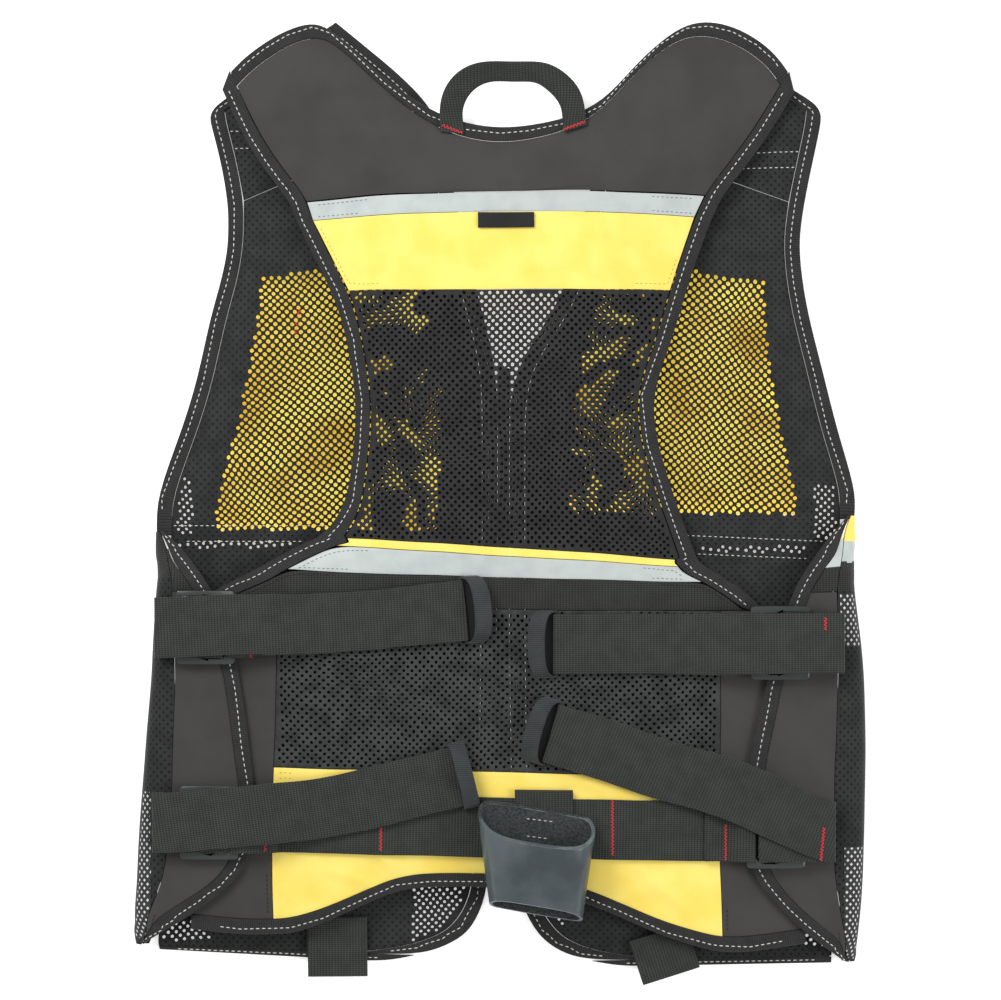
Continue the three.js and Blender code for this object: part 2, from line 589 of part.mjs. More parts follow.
const frontStations = [0, 0.5, 1, 1.5, 2, 2.5, 3, 3.5, 4, 4.5, 5, 6, 7, 8, 9, 9.5, 10, 11, 12, 13, 14, 15, 15.5, 16, 16.5];
const frontShares = [0, 0.06, 0.13, 0.35, 0.65, 0.87, 0.94, 1];
for (const side of ['left', 'right']) {
  const pointAt = (across, row) => frontPoint(side, across, row);
  const hemEdge = (width) => rowAway(pointAt, 0.5, frontRow.hem, frontRow.hem - 1, width);
  const lastSquare = frontRow.hem - 0.1;
  const outerWidth = (row, width) => edgeShare(pointAt, 0, clamp(row, 0.05, lastSquare), width);
  const innerWidth = (row, width) => edgeShare(pointAt, 1, clamp(row, 0.05, lastSquare), width);
  const panel = (share, row) => {
    const outer = row > frontRow.armholeEnd ? 0 : outerWidth(row, bindingWidth + seamGap);
    return pointAt(lerp(outer, 1 - innerWidth(row, bindingWidth + seamGap), share), row);
  };
  const shoulderWall = (share, row) => lerp(fabricWall, shoulderPadWall,
    smooth(Math.min(share, 1 - share), 0, 0.12) * (1 - smooth(row, 2.4, 3)));
  const yokeSeamEnd = rowAway(pointAt, 0.5, frontRow.yokeSeam, frontRow.yokeSeam - 1, seamGap);
  const shoulderPoint = (share, row) => {
    const point = panel(share, row);
    point.z = Math.max(point.z, shoulderWall(share, row) / 2);
    return point;
  };
  addSheet(`front_shoulder_${side}`, blackMesh, shoulderPoint, frontShares,
    stationsBetween(frontStations, frontRow.shoulder, yokeSeamEnd), shoulderWall, true);
  addSheet(`front_mesh_${side}`, blackMesh, panel, frontShares,
    stationsBetween(frontStations, frontRow.yokeSeam, hemEdge(bindingWidth + seamGap)), meshWall, true);
  const outerStrip = (share, row) => pointAt(share * outerWidth(row, bindingWidth), row);
  addSheet(`front_armhole_binding_${side}`, blackBinding, outerStrip, [0, 1],
    stationsBetween(frontStations, frontRow.shoulder, frontRow.armholeEnd), bindingWall, true);
  const innerStrip = (share, row) => pointAt(1 - share * innerWidth(row, bindingWidth), row);
  addSheet(`front_centre_binding_${side}`, blackBinding, innerStrip, [0, 1],
    stationsBetween(frontStations, frontRow.shoulder, hemEdge(bindingWidth + seamGap)), bindingWall, true);
  addSheet(`front_hem_binding_${side}`, blackBinding, pointAt, steps(0, 1, 6),
    [hemEdge(bindingWidth), frontRow.hem], bindingWall, true);

  // The chest pocket: a shallow tray that hangs below the front, open towards the shoulder
  const pocketPoint = (share, depth) => {
    const row = lerp(frontRow.pocketTop, frontRow.pocketEnd, depth);
    const point = pointAt(lerp(pocketInset, 1 - pocketInset, share), row);
    const nearest = Math.min(share, 1 - share, 1 - depth);
    point.z = lerp(pocketDepth - pocketWall / 2, pocketWall / 2, smooth(nearest, 0, pocketCorner));
    return point;
  };
  addSheet(`pocket_${side}`, yellowFabric, pocketPoint, [0, pocketCorner, 0.33, 0.67, 1 - pocketCorner, 1],
    [0, 0.2, 0.5, 0.8, 1 - pocketCorner, 1], pocketWall);
}

// The plain strip that closes the fronts down the middle
const closurePoint = (share, row) => {
  const left = frontPoint('left', 1, row);
  const right = frontPoint('right', 1, row);
  const gap = seamGap / left.distanceTo(right);
  return left.lerp(right, lerp(gap, 1 - gap, share));
};
addSheet('front_closure', blackWebbing, closurePoint, [0, 1],
  stationsBetween(frontStations, frontRow.centreTop, 13), bindingWall, true);

// The side wings. A section runs from the underside, round the fold and over the back to the bound edge.
const underShare = 0.2;
const foldShare = 0.45;
function wingPoint(side, share, row) {
  const rows = wingRows[side];
  const inward = side === 'left' ? 1 : -1;
  const fold = new THREE.Vector2(column(rows, 'foldX', row) * vestWidth, column(rows, 'foldY', row) * vestLength);
  fold.x += inward * meshWall / 2;
  const edge = new THREE.Vector2(column(rows, 'edgeX', row) * vestWidth, column(rows, 'edgeY', row) * vestLength);
  const topWidth = Math.abs(edge.x - fold.x);
  const depth = Math.min(sideFoldDepth, topWidth * 0.45);
  const under = sideUnderlap * level(rows, 'under', row) - meshWall / 2;
  const heightOver = (x, y) => lerp(bindingHeight, backHeight(x, y) + wingLap, level(rows, 'height', row));
  if (share < underShare) {
    const x = lerp(Math.max(under, depth + 0.4), depth, share / underShare);
    return new THREE.Vector3(fold.x + inward * x, fold.y, bindingHeight);
  }
  if (share < foldShare) {
    const turn = (share - underShare) / (foldShare - underShare) * Math.PI;
    const top = heightOver(fold.x + inward * depth, fold.y);
    const x = depth * (1 - Math.sin(turn));
    return new THREE.Vector3(fold.x + inward * x, fold.y, lerp(bindingHeight, top, (1 - Math.cos(turn)) / 2));
  }
  const part = (share - foldShare) / (1 - foldShare);
  const x = lerp(fold.x + inward * depth, edge.x, part);
  const y = lerp(fold.y, edge.y, part);
  return new THREE.Vector3(x, y, heightOver(x, y));
}
const wingStations = [0, 0.5, 1, 1.5, 2, 2.5, 3, 4, 5, 6, 7, 8, 8.5, 9, 9.5, 10, 10.5, 11, 11.6, 12];
for (const side of ['left', 'right']) {
  const pointAt = (share, row) => wingPoint(side, share, row);
  const bandStop = rowAway(pointAt, 0.8, wingRow.bandEnd, wingRow.bandEnd - 1, seamGap);
  const bound = (row, width) => Math.min(edgeShare(pointAt, 1, clamp(row, 0.05, 11.95), width), 0.4);
  const gapShare = (row) => edgeShare(pointAt, 0.9, clamp(row, 0.05, 11.95), seamGap);
  const split = (row) => lerp(foldShare, 1 - bound(row, bindingWidth), 0.23);
  const meshShares = [0, underShare, ...steps(underShare, foldShare, 4).slice(1), 2];
  const meshPoint = (share, row) => pointAt(share > 1 ? split(row) + (share - 2) * 0.01 : share, row);
  addSheet(`side_mesh_${side}`, blackMesh, meshPoint, meshShares, 
    stationsBetween(wingStations, wingRow.tip, wingRow.end), meshWall);
  const panelPoint = (share, row) => pointAt(
    lerp(split(row) + gapShare(row), 1 - bound(row, bindingWidth) - gapShare(row), share), row);
  const taped = side === 'right';
  if (taped) {
    const tapeStop = rowAway(pointAt, 0.8, wingRow.tapeEnd, wingRow.tapeEnd - 1, seamGap);
    addSheet('side_tape_right', reflective, panelPoint, steps(0, 1, 4),
      stationsBetween(wingStations, wingRow.bandTop, tapeStop), bandWall);
  }
  addSheet(`side_band_${side}`, ribbedBand, panelPoint, steps(0, 1, 4),
    stationsBetween(wingStations, taped ? wingRow.tapeEnd : wingRow.bandTop, bandStop), bandWall);
  addSheet(`side_panel_${side}`, greyFabric, panelPoint, steps(0, 1, 4),
    stationsBetween(wingStations, wingRow.bandEnd, wingRow.corner), fabricWall);
  const edgePoint = (share, row) => pointAt(1 - share * bound(row, bindingWidth), row);
  addSheet(`side_edge_binding_${side}`, blackBinding, edgePoint, [0, 1],
    stationsBetween(wingStations, wingRow.tip, wingRow.end), bindingWall);
}

// Stations no farther apart than the given step, so that a ribbon follows the cloth below it
function closer(stations, step) {
  const result = [stations[0]];
  for (let place = 1; place < stations.length; place += 1) {
    const from = stations[place - 1];
    const to = stations[place];
    const count = Math.max(1, Math.ceil(from.middle.distanceTo(to.middle) / step));
    for (let part = 1; part < count; part += 1) {
      result.push({
        middle: from.middle.clone().lerp(to.middle, part / count),
        sideways: from.sideways.clone().lerp(to.sideways, part / count).normalize(),
      });
    }
    result.push(to);
  }
  return result;
}

// A ribbon that follows stations with a middle, a sideways direction and a height over the cloth below
function addRibbon(name, material, stations, width, wall, heightBelow, widthSteps = 1) {
  const geometry = new THREE.BoxGeometry(1, 1, 1, stations.length - 1, widthSteps, 1);
  const place = geometry.attributes.position;
  for (let corner = 0; corner < place.count; corner += 1) {
    const index = Math.round((place.getX(corner) + 0.5) * (stations.length - 1));
    const station = stations[index];
    const before = stations[Math.max(index - 1, 0)].middle;
    const after = stations[Math.min(index + 1, stations.length - 1)].middle;
    const normal = station.sideways.clone().cross(after.clone().sub(before)).normalize();
    const point = station.middle.clone()
      .addScaledVector(station.sideways, place.getY(corner) * width)
      .addScaledVector(normal, place.getZ(corner) * wall);
    point.z += heightBelow(point.x, point.y);
    place.setXYZ(corner, point.x, point.y, point.z);
  }
  addPiece(name, geometry, material);
}

// Points of a path with its corners rounded
function roundedPath(corners, radius, arcSteps) {
  const points = [corners[0].clone()];
  for (let place = 1; place < corners.length - 1; place += 1) {
    const corner = corners[place];
    const before = corners[place - 1].clone().sub(corner);
    const after = corners[place + 1].clone().sub(corner);
    const reach = Math.min(radius, before.length() * 0.5, after.length() * 0.5);
    const start = corner.clone().addScaledVector(before.normalize(), reach);
    const end = corner.clone().addScaledVector(after.normalize(), reach);
    for (let step = 0; step <= arcSteps; step += 1) {
      const part = step / arcSteps;
      const point = start.clone().multiplyScalar((1 - part) ** 2)
        .addScaledVector(corner, 2 * part * (1 - part)).addScaledVector(end, part ** 2);
      if (point.distanceTo(points[points.length - 1]) > 0.02) {
        points.push(point);
      }
    }
  }
  const last = corners[corners.length - 1];
  if (last.distanceTo(points[points.length - 1]) > 0.02) {
    points.push(last.clone());
  }
  return points;
}

const onVest = ([x, y]) => new THREE.Vector2(x * vestWidth, y * vestLength);
const wingSurface = (x, y) => backHeight(x, y) + wingTop;

// Heights over the wing's top of the layers of an adjuster
const firstLayer = layerGap + buckleSeat + webbingWall / 2;
const buckleBase = firstLayer + webbingWall / 2 + layerGap + buckleSeat;
const returnLayer = buckleBase + buckleHeight + layerGap + buckleSeat + webbingWall / 2;
const topLayer = returnLayer + webbingWall + layerGap;
const buckleSlot = (buckleLength - 3 * buckleBar) / 2;
const buckleWidth = webbingWidth + 2 * (buckleRail + slotClearance);

// The direction from a buckle's inner end outwards to the strap's fold
function adjusterFrame(adjuster) {
  const inner = onVest(adjuster.buckle);
  const outward = new THREE.Vector2(Math.sign(inner.x), 0);
  const fold = onVest(adjuster.fold);
  return { inner, outward, fold, reach: Math.abs(fold.x - inner.x) };
}

// Webbing that loops through a buckle's slot, given as distance outwards from the buckle's inner end
function pathStations(frame, path) {
  const sideways = new THREE.Vector3(0, 1, 0);
  return path.map((point) => ({
    middle: new THREE.Vector3(frame.inner.x + frame.outward.x * point.x, frame.inner.y, point.y),
    sideways,
  }));
}

// The webbing that holds a buckle from the back, doubled over the buckle's inner bar, above the wing's edge
function holdingPath(shelf) {
  const turn = buckleBar + layerGap + webbingWall / 2;
  const low = buckleBase - layerGap - buckleSeat - webbingWall / 2;
  const high = buckleBase + buckleHeight + layerGap + webbingWall / 2;
  const sewn = meshWall / 2 + layerGap + webbingWall / 2 - wingTop;
  const ply = webbingWall + layerGap;
  return roundedPath([
    new THREE.Vector2(-holdingReach, sewn),
    new THREE.Vector2(-shelf - 8, sewn),
    new THREE.Vector2(-shelf, low),
    new THREE.Vector2(turn, low),
    new THREE.Vector2(turn, high),
    new THREE.Vector2(-3.5, high),
    new THREE.Vector2(-shelf - 6, low + ply),
    new THREE.Vector2(-shelf - 11, sewn + ply),
    new THREE.Vector2(-holdingReach, sewn + ply),
  ], webbingWall, 2);
}

for (const [place, adjuster] of Object.entries(adjusters)) {
  const frame = adjusterFrame(adjuster);
  const upper = place.startsWith('upper');
  const keeperFloor = bandWall / 2 + layerGap + (upper ? 0 : webbingWall + layerGap);
  const strapRest = keeperFloor + keeperWall + layerGap + webbingWall / 2 - wingTop;

  // The moulded buckle: a frame with a middle bar
  const outline = new THREE.Shape();
  const corner = buckleRail * 0.8;
  const half = buckleWidth / 2;
  outline.moveTo(corner, -half);
  outline.lineTo(buckleLength - corner, -half);
  outline.quadraticCurveTo(buckleLength, -half, buckleLength, -half + corner);
  outline.lineTo(buckleLength, half - corner);
  outline.quadraticCurveTo(buckleLength, half, buckleLength - corner, half);
  outline.lineTo(corner, half);
  outline.quadraticCurveTo(0, half, 0, half - corner);
  outline.lineTo(0, -half + corner);
  outline.quadraticCurveTo(0, -half, corner, -half);
  for (const [slotStart, slotHalf] of [
    [buckleBar, half - buckleRail],
    [2 * buckleBar + buckleSlot, half - buckleRail - slotClearance / 3],
  ]) {
    const slot = new THREE.Path();
    slot.moveTo(slotStart, -slotHalf);
    slot.lineTo(slotStart, slotHalf);
    slot.lineTo(slotStart + buckleSlot, slotHalf);
    slot.lineTo(slotStart + buckleSlot, -slotHalf);
    outline.holes.push(slot);
  }
  const buckle = new THREE.ExtrudeGeometry(outline, { depth: buckleHeight, bevelEnabled: false, curveSegments: 3 });
  const spot = buckle.attributes.position;
  for (let index = 0; index < spot.count; index += 1) {
    const x = frame.inner.x + frame.outward.x * spot.getX(index);
    const y = frame.inner.y + spot.getY(index);
    spot.setXYZ(index, x, y, wingSurface(x, y) + buckleBase + spot.getZ(index));
  }
  addPiece(`buckle_${place}`, buckle, plastic);

  // The strap: in from the side, round the middle bar, out again, over at the fold and in across the back
  const turnIn = buckleBar + 2 * webbingWall + 3 * layerGap;
  const lower = roundedPath([
    new THREE.Vector2(frame.reach - webbingWall, firstLayer),
    new THREE.Vector2(turnIn, firstLayer),
    new THREE.Vector2(turnIn, returnLayer),
    new THREE.Vector2(frame.reach, returnLayer),
    new THREE.Vector2(frame.reach, topLayer),
    new THREE.Vector2(frame.reach - webbingWidth / 4, topLayer),
  ], webbingWall, 2);
  const stations = closer(pathStations(frame, lower), ribbonStep);
  const foldStart = stations[stations.length - 1].middle;
  const route = new THREE.CatmullRomCurve3([
    foldStart,
    new THREE.Vector3(frame.inner.x - frame.outward.x * (adjuster.shelf + 5),
      lerp(frame.fold.y, onVest(adjuster.run[0]).y, 0.7), topLayer),
    ...adjuster.run.map((spotShare) => {
      const at = onVest(spotShare);
      return new THREE.Vector3(at.x, at.y, strapRest);
    }),
  ]);
  const runSteps = 9;
  for (let step = 1; step <= runSteps; step += 1) {
    const along = step / runSteps;
    const tangent = route.getTangent(along);
    stations.push({
      middle: route.getPoint(along),
      sideways: new THREE.Vector3(-tangent.y, tangent.x, 0).normalize().multiplyScalar(-frame.outward.x),
    });
  }
  addRibbon(`strap_${place}`, blackWebbing, stations, webbingWidth, webbingWall, wingSurface, 2);

  // The elastic keeper round the strap's end
  const ring = new THREE.Shape();
  const inside = new THREE.Path();
  const innerWidth = webbingWidth / 2 + slotClearance + keeperEase;
  const outerWidth = innerWidth + keeperWall;
  ring.moveTo(-outerWidth, 0);
  ring.lineTo(outerWidth, 0);
  const crown = outerWidth * keeperCrown;
  const belly = outerWidth + keeperEase;
  const flank = keeperArch * keeperCrown;
  ring.bezierCurveTo(belly, flank, crown, keeperArch, 0, keeperArch);
  ring.bezierCurveTo(-crown, keeperArch, -belly, flank, -outerWidth, 0);
  inside.moveTo(-innerWidth, keeperWall);
  const roof = keeperArch - keeperWall;
  inside.bezierCurveTo(-belly + keeperWall, flank, -innerWidth * keeperCrown, roof, 0, roof);
  inside.bezierCurveTo(innerWidth * keeperCrown, roof, belly - keeperWall, flank, innerWidth, keeperWall);
  ring.holes.push(inside);
  const keeper = new THREE.ExtrudeGeometry(ring, { depth: keeperBand, bevelEnabled: false, curveSegments: 8 });
  const end = stations[stations.length - 1];
  const forward = new THREE.Vector3(end.sideways.y, -end.sideways.x, 0);
  const wear = keeper.attributes.position;
  for (let index = 0; index < wear.count; index += 1) {
    const lean = keeperLean * adjuster.lean * wear.getY(index) / keeperArch;
    const reach = keeperBand * (1 - keeperHold) - wear.getZ(index) + lean;
    const point = end.middle.clone().addScaledVector(end.sideways, wear.getX(index))
      .addScaledVector(forward, -frame.outward.x * reach);
    const height = backHeight(point.x, point.y) + keeperFloor + wear.getY(index);
    wear.setXYZ(index, point.x, point.y, height);
  }
  addPiece(`keeper_${place}`, keeper, elastic);

  // The tab that holds an upper buckle: round the inner bar and sewn to the back
  if (upper) {
    const stationsOfTab = closer(pathStations(frame, holdingPath(adjuster.shelf)), ribbonStep);
    addRibbon(`buckle_tab_${place}`, blackWebbing, stationsOfTab, webbingWidth, webbingWall, wingSurface);
  }
}

// The waist belt: webbing across the back whose ends hold the lower buckles
const leftFrame = adjusterFrame(adjusters.lower_left);
const rightFrame = adjusterFrame(adjusters.lower_right);
const leftEnd = pathStations(leftFrame, holdingPath(adjusters.lower_left.shelf)).reverse();
const rightEnd = pathStations(rightFrame, holdingPath(adjusters.lower_right.shelf));
const beltStart = leftEnd[leftEnd.length - 1].middle;
const beltFinish = rightEnd[0].middle;
const beltMiddle = steps(0, 1, 9).slice(1, -1).map((part) => ({
  middle: beltStart.clone().lerp(beltFinish, part),
  sideways: new THREE.Vector3(0, 1, 0),
}));
addRibbon('waist_belt', blackWebbing, [...leftEnd, ...beltMiddle, ...rightEnd], webbingWidth, webbingWall, wingSurface);

// A flat patch sewn on the back, given by its sides and its height over the back's cloth
function addPatch(name, material, span, height, counts, wall) {
  const point = (share, depth) => {
    const x = lerp(span.left, span.right, share) * vestWidth;
    const y = lerp(span.top, span.end, depth) * vestLength;
    return new THREE.Vector3(x, y, backHeight(x, y) + height);
  };
  addSheet(name, material, point, steps(0, 1, counts[0]), steps(0, 1, counts[1]), wall);
}
addPatch('label_tab', label, labelSpan, fabricWall / 2 + layerGap + labelWall / 2, [4, 1], labelWall);
const hangerHeight = fabricWall / 2 + webbingWall + 2 * layerGap + webbingWall / 2;
addPatch('hammer_loop_hanger', blackWebbing, hangerSpan, hangerHeight, [4, 5], webbingWall);

// The leather hammer loop: a band that stands off the hanger and leans towards the hem
const loopOutline = new THREE.Shape();
const loopHollow = new THREE.Path();
const loopHalf = hammerLoopWidth / 2;
const loopInner = loopHalf - leatherWall;
const innerRise = hammerLoopRise - leatherWall;
loopOutline.moveTo(-loopHalf * 0.8, 0);
loopOutline.lineTo(loopHalf * 0.8, 0);
loopOutline.bezierCurveTo(loopHalf, 0, loopHalf * 1.05, hammerLoopRise * 0.35, loopHalf, hammerLoopRise * 0.55);
loopOutline.bezierCurveTo(loopHalf * 0.9, hammerLoopRise, loopHalf * 0.5, hammerLoopRise, 0, hammerLoopRise);
loopOutline.bezierCurveTo(-loopHalf * 0.5, hammerLoopRise, -loopHalf * 0.9, hammerLoopRise, -loopHalf, hammerLoopRise * 0.55);
loopOutline.bezierCurveTo(-loopHalf * 1.05, hammerLoopRise * 0.35, -loopHalf, 0, -loopHalf * 0.8, 0);
loopHollow.moveTo(-loopInner * 0.8, leatherWall);
loopHollow.bezierCurveTo(-loopInner, leatherWall, -loopInner * 1.03, innerRise * 0.4, -loopInner, innerRise * 0.58);
loopHollow.bezierCurveTo(-loopInner * 0.9, innerRise, -loopInner * 0.5, innerRise, 0, innerRise);
loopHollow.bezierCurveTo(loopInner * 0.5, innerRise, loopInner * 0.9, innerRise, loopInner, innerRise * 0.58);
loopHollow.bezierCurveTo(loopInner * 1.03, innerRise * 0.4, loopInner, leatherWall, loopInner * 0.8, leatherWall);
loopOutline.holes.push(loopHollow);
const loopBand = new THREE.ExtrudeGeometry(loopOutline, { depth: 1, steps: 3, bevelEnabled: false, curveSegments: 4 });
const loopSpot = loopBand.attributes.position;
const loopTop = onVest(hammerLoopTop);
const loopFloor = hangerHeight + webbingWall / 2 + layerGap + lapClearance;
for (let index = 0; index < loopSpot.count; index += 1) {
  const down = loopSpot.getZ(index);
  const rise = loopSpot.getY(index);
  const lean = rise / hammerLoopRise;
  const length = lerp(hammerLoopBackBand, hammerLoopBand, lean);
  const x = loopTop.x + loopSpot.getX(index) * (1 - hammerLoopTaper * down);
  const y = loopTop.y - hammerLoopLean * lean - length * down;
  loopSpot.setXYZ(index, x, y, backHeight(x, y) + loopFloor + rise);
}
addPiece('hammer_loop', loopBand, leather);

// The hang loop at the neck: webbing sewn flat at its ends, which stands on edge round its bend
const loopCurve = new THREE.CatmullRomCurve3(hangLoopRoute.map((spot) => new THREE.Vector3(...onVest(spot), 0)));
const hangStations = steps(0, 1, 16).map((along) => {
  const middle = loopCurve.getPoint(along);
  const tangent = loopCurve.getTangent(along);
  const turn = hangLoopTurn * Math.sin(Math.PI * along);
  const standing = smooth(Math.sin(Math.PI * along), 0.1, 0.7);
  middle.z = bindingWall / 2 + layerGap + webbingWall / 2 + hangLoopRise * standing;
  const sideways = new THREE.Vector3(-tangent.y * Math.cos(turn), tangent.x * Math.cos(turn), Math.sin(turn));
  return { middle, sideways };
});
const neckHeight = backPoint(0.5, backRow.neck).z;
addRibbon('hang_loop', blackWebbing, hangStations, loopWebbingWidth, webbingWall,
  (x, y) => Math.max(backHeight(x, y), neckHeight));

// Webbing loops on the fronts, folded double past the hem
for (const side of ['left', 'right']) {
  const top = onVest(hemLoops[side].top);
  const end = onVest(hemLoops[side].end);
  const down = end.clone().sub(top);
  const reach = down.length();
  down.normalize();
  const low = bindingHeight + layerGap + webbingWall / 2;
  const high = low + webbingWall + layerGap;
  const path = roundedPath([
    new THREE.Vector2(0, low),
    new THREE.Vector2(reach, low),
    new THREE.Vector2(reach, high),
    new THREE.Vector2(0, high),
  ], webbingWall, 3);
  const stationsOfLoop = path.map((point) => ({
    middle: new THREE.Vector3(top.x + down.x * point.x, top.y + down.y * point.x, point.y),
    sideways: new THREE.Vector3(-down.y, down.x, 0),
  }));
  addRibbon(`hem_loop_${side}`, blackWebbing, closer(stationsOfLoop, ribbonStep), webbingWidth, webbingWall,
    (x, y) => frontHeight(side, x, y));
}

// The origin lies on the surface below the middle of the vest
vest.updateMatrixWorld(true);
const bounds = new THREE.Box3().setFromObject(vest);
vest.position.set(-(bounds.min.x + bounds.max.x) / 2, -(bounds.min.y + bounds.max.y) / 2, -bounds.min.z);

export default vest;
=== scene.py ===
import math

import bmesh
import bpy
from mathutils import Matrix, Vector, noise
from mathutils.bvhtree import BVHTree


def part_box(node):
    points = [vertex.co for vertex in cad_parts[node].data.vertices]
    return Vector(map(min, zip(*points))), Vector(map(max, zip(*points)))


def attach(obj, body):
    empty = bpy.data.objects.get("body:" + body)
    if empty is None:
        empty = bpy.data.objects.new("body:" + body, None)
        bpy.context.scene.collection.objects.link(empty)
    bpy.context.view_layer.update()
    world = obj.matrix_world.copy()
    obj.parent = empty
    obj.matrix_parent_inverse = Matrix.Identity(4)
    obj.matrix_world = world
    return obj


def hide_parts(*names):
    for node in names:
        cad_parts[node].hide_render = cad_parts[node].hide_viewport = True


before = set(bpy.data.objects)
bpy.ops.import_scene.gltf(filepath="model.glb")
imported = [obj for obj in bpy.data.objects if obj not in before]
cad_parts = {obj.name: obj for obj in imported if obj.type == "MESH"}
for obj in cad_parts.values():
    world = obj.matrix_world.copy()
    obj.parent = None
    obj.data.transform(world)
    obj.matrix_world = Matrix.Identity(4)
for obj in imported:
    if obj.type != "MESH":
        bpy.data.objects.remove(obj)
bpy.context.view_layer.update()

# The yoke is a padded shoulder piece of dark grey woven cloth over foam. Its quilting thins out to the seams,
# and the whole vest settles under its own weight, so its cloth rises, dips and creases a little.
MM = 0.001
DOWN = Vector((0, 0, -1))
sharp_angle = math.radians(48)
doubled = 0.01 * MM
BUCKLES = ("buckle_upper_left", "buckle_upper_right", "buckle_lower_left", "buckle_lower_right")
buckle_middles = []
for buckle in BUCKLES:
    low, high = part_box(buckle)
    buckle_middles.append((low + high) / 2)

# Creases in the cloth: where each starts and ends, how high it stands and how wide it is, in millimetres
creases = [
    {"start": (57, 238), "end": (56, 222), "height": 1.3, "width": 4},
    {"start": (56, 222), "end": (68, 199), "height": 1.6, "width": 4},
    {"start": (62, 179), "end": (65, 164), "height": 1.5, "width": 3.5},
    {"start": (65, 164), "end": (79, 144), "height": 1.7, "width": 3.5},
    {"start": (-96, 262), "end": (-70, 214), "height": 1.1, "width": 7},
    {"start": (-40, 214), "end": (-10, 203), "height": -1.2, "width": 6},
    {"start": (92, 258), "end": (108, 214), "height": 1.2, "width": 7},
    {"start": (118, 246), "end": (150, 262), "height": -1.1, "width": 6},
    {"start": (-20, -172), "end": (-60, -180), "height": 1.5, "width": 3},
    {"start": (-120, -176), "end": (-96, -188), "height": 1.4, "width": 4},
    {"start": (40, -172), "end": (80, -184), "height": 1.3, "width": 3.5},
    {"start": (-112, -232), "end": (-70, -246), "height": 1.3, "width": 3},
    {"start": (88, -232), "end": (122, -262), "height": 1.5, "width": 4},
    {"start": (-90, -60), "end": (-64, -160), "height": 1.3, "width": 7},
    {"start": (70, -84), "end": (98, -160), "height": -1.3, "width": 8},
    {"start": (-60, 128), "end": (-78, 20), "height": 1.6, "width": 9},
    {"start": (78, 120), "end": (92, 30), "height": -1.6, "width": 9},
    {"start": (-88, 96), "end": (-30, 58), "height": 2.4, "width": 6},
    {"start": (-84, 58), "end": (10, 34), "height": -2.2, "width": 8},
    {"start": (-70, 12), "end": (-14, -22), "height": 2.6, "width": 6},
    {"start": (-30, 24), "end": (56, 66), "height": 2.2, "width": 7},
    {"start": (20, 20), "end": (96, -14), "height": 2.5, "width": 6},
    {"start": (30, 92), "end": (88, 74), "height": 2.2, "width": 6},
    {"start": (-8, -6), "end": (60, -26), "height": -2.2, "width": 7},
    {"start": (-110, -104), "end": (-30, -126), "height": 2.0, "width": 7},
    {"start": (-20, -98), "end": (10, -150), "height": 2.2, "width": 7},
    {"start": (30, -112), "end": (120, -104), "height": -2.0, "width": 8},
    {"start": (-190, -150), "end": (-168, -176), "height": 2.2, "width": 7},
    {"start": (170, -120), "end": (196, -160), "height": 2.0, "width": 7},
    {"start": (60, -256), "end": (104, -240), "height": 1.6, "width": 4},
    {"start": (-98, -206), "end": (-60, -236), "height": 1.6, "width": 4},
]


def crease_rise(x, y):
    """How far the creases lift the cloth at a place."""
    rise = 0.0
    for crease in creases:
        start = Vector(crease["start"]) * MM
        along = Vector(crease["end"]) * MM - start
        share = max(0.0, min(1.0, (Vector((x, y)) - start).dot(along) / along.length_squared))
        away = (Vector((x, y)) - start - along * share).length / (crease["width"] * MM)
        if away < 3:
            rise += crease["height"] * MM * math.exp(-away * away) * math.sin(math.pi * (0.12 + 0.76 * share))
    return rise


def cloth_rise(x, y):
    """How far the cloth lies above or below where the frame has it."""
    broad = 1.3 * MM * noise.noise(Vector((x / (85 * MM), y / (85 * MM), 1.5)))
    middling = 0.8 * MM * noise.noise(Vector((x / (30 * MM), y / (42 * MM), 4.5)))
    return broad + middling + crease_rise(x, y)


buckle_rises = [cloth_rise(middle.x, middle.y) for middle in buckle_middles]


def settled(point):
    """A point of the frame after the cloth has settled. Nothing moves at the floor, nor bends at a buckle."""
    rise = cloth_rise(point.x, point.y)
    sway = 1.0
    for middle, level in zip(buckle_middles, buckle_rises):
        away = (Vector((point.x, point.y)) - middle.xy).length
        near = max(0.0, min(1.0, (45 * MM - away) / (14 * MM)))
        rise = rise * (1 - near) + level * near
        sway *= 1 - near
    free = max(0.0, min(1.0, (point.z - 2.5 * MM) / (9 * MM)))
    aside = Vector((
        noise.noise(Vector((point.x / (40 * MM), point.y / (40 * MM), 11.5))),
        noise.noise(Vector((point.x / (40 * MM), point.y / (40 * MM), 21.5))),
        0.0,
    ))
    return point + aside * 0.7 * MM * sway * free + Vector((0, 0, rise * free))


def merged_copy(node):
    """The frame's mesh of one piece to edit, with its doubled corners joined and its faces paired."""
    shape = bmesh.new()
    shape.from_mesh(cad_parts[node].data)
    bmesh.ops.remove_doubles(shape, verts=shape.verts, dist=doubled)
    bmesh.ops.recalc_face_normals(shape, faces=shape.faces)
    bmesh.ops.join_triangles(
        shape, faces=shape.faces, angle_face_threshold=math.radians(35),
        angle_shape_threshold=math.radians(180))
    return shape


def put_in_scene(name, shape):
    """Turns an editable mesh into a smooth-shaded piece of the scene."""
    mesh = bpy.data.meshes.new(name)
    shape.to_mesh(mesh)
    shape.free()
    for face in mesh.polygons:
        face.use_smooth = True
    piece = bpy.data.objects.new(name, mesh)
    bpy.context.scene.collection.objects.link(piece)
    return piece


def applied(piece):
    """Fixes a piece's modifiers into its mesh."""
    bpy.context.view_layer.update()
    finished = bpy.data.meshes.new_from_object(piece.evaluated_get(bpy.context.evaluated_depsgraph_get()))
    piece.modifiers.clear()
    piece.data = finished


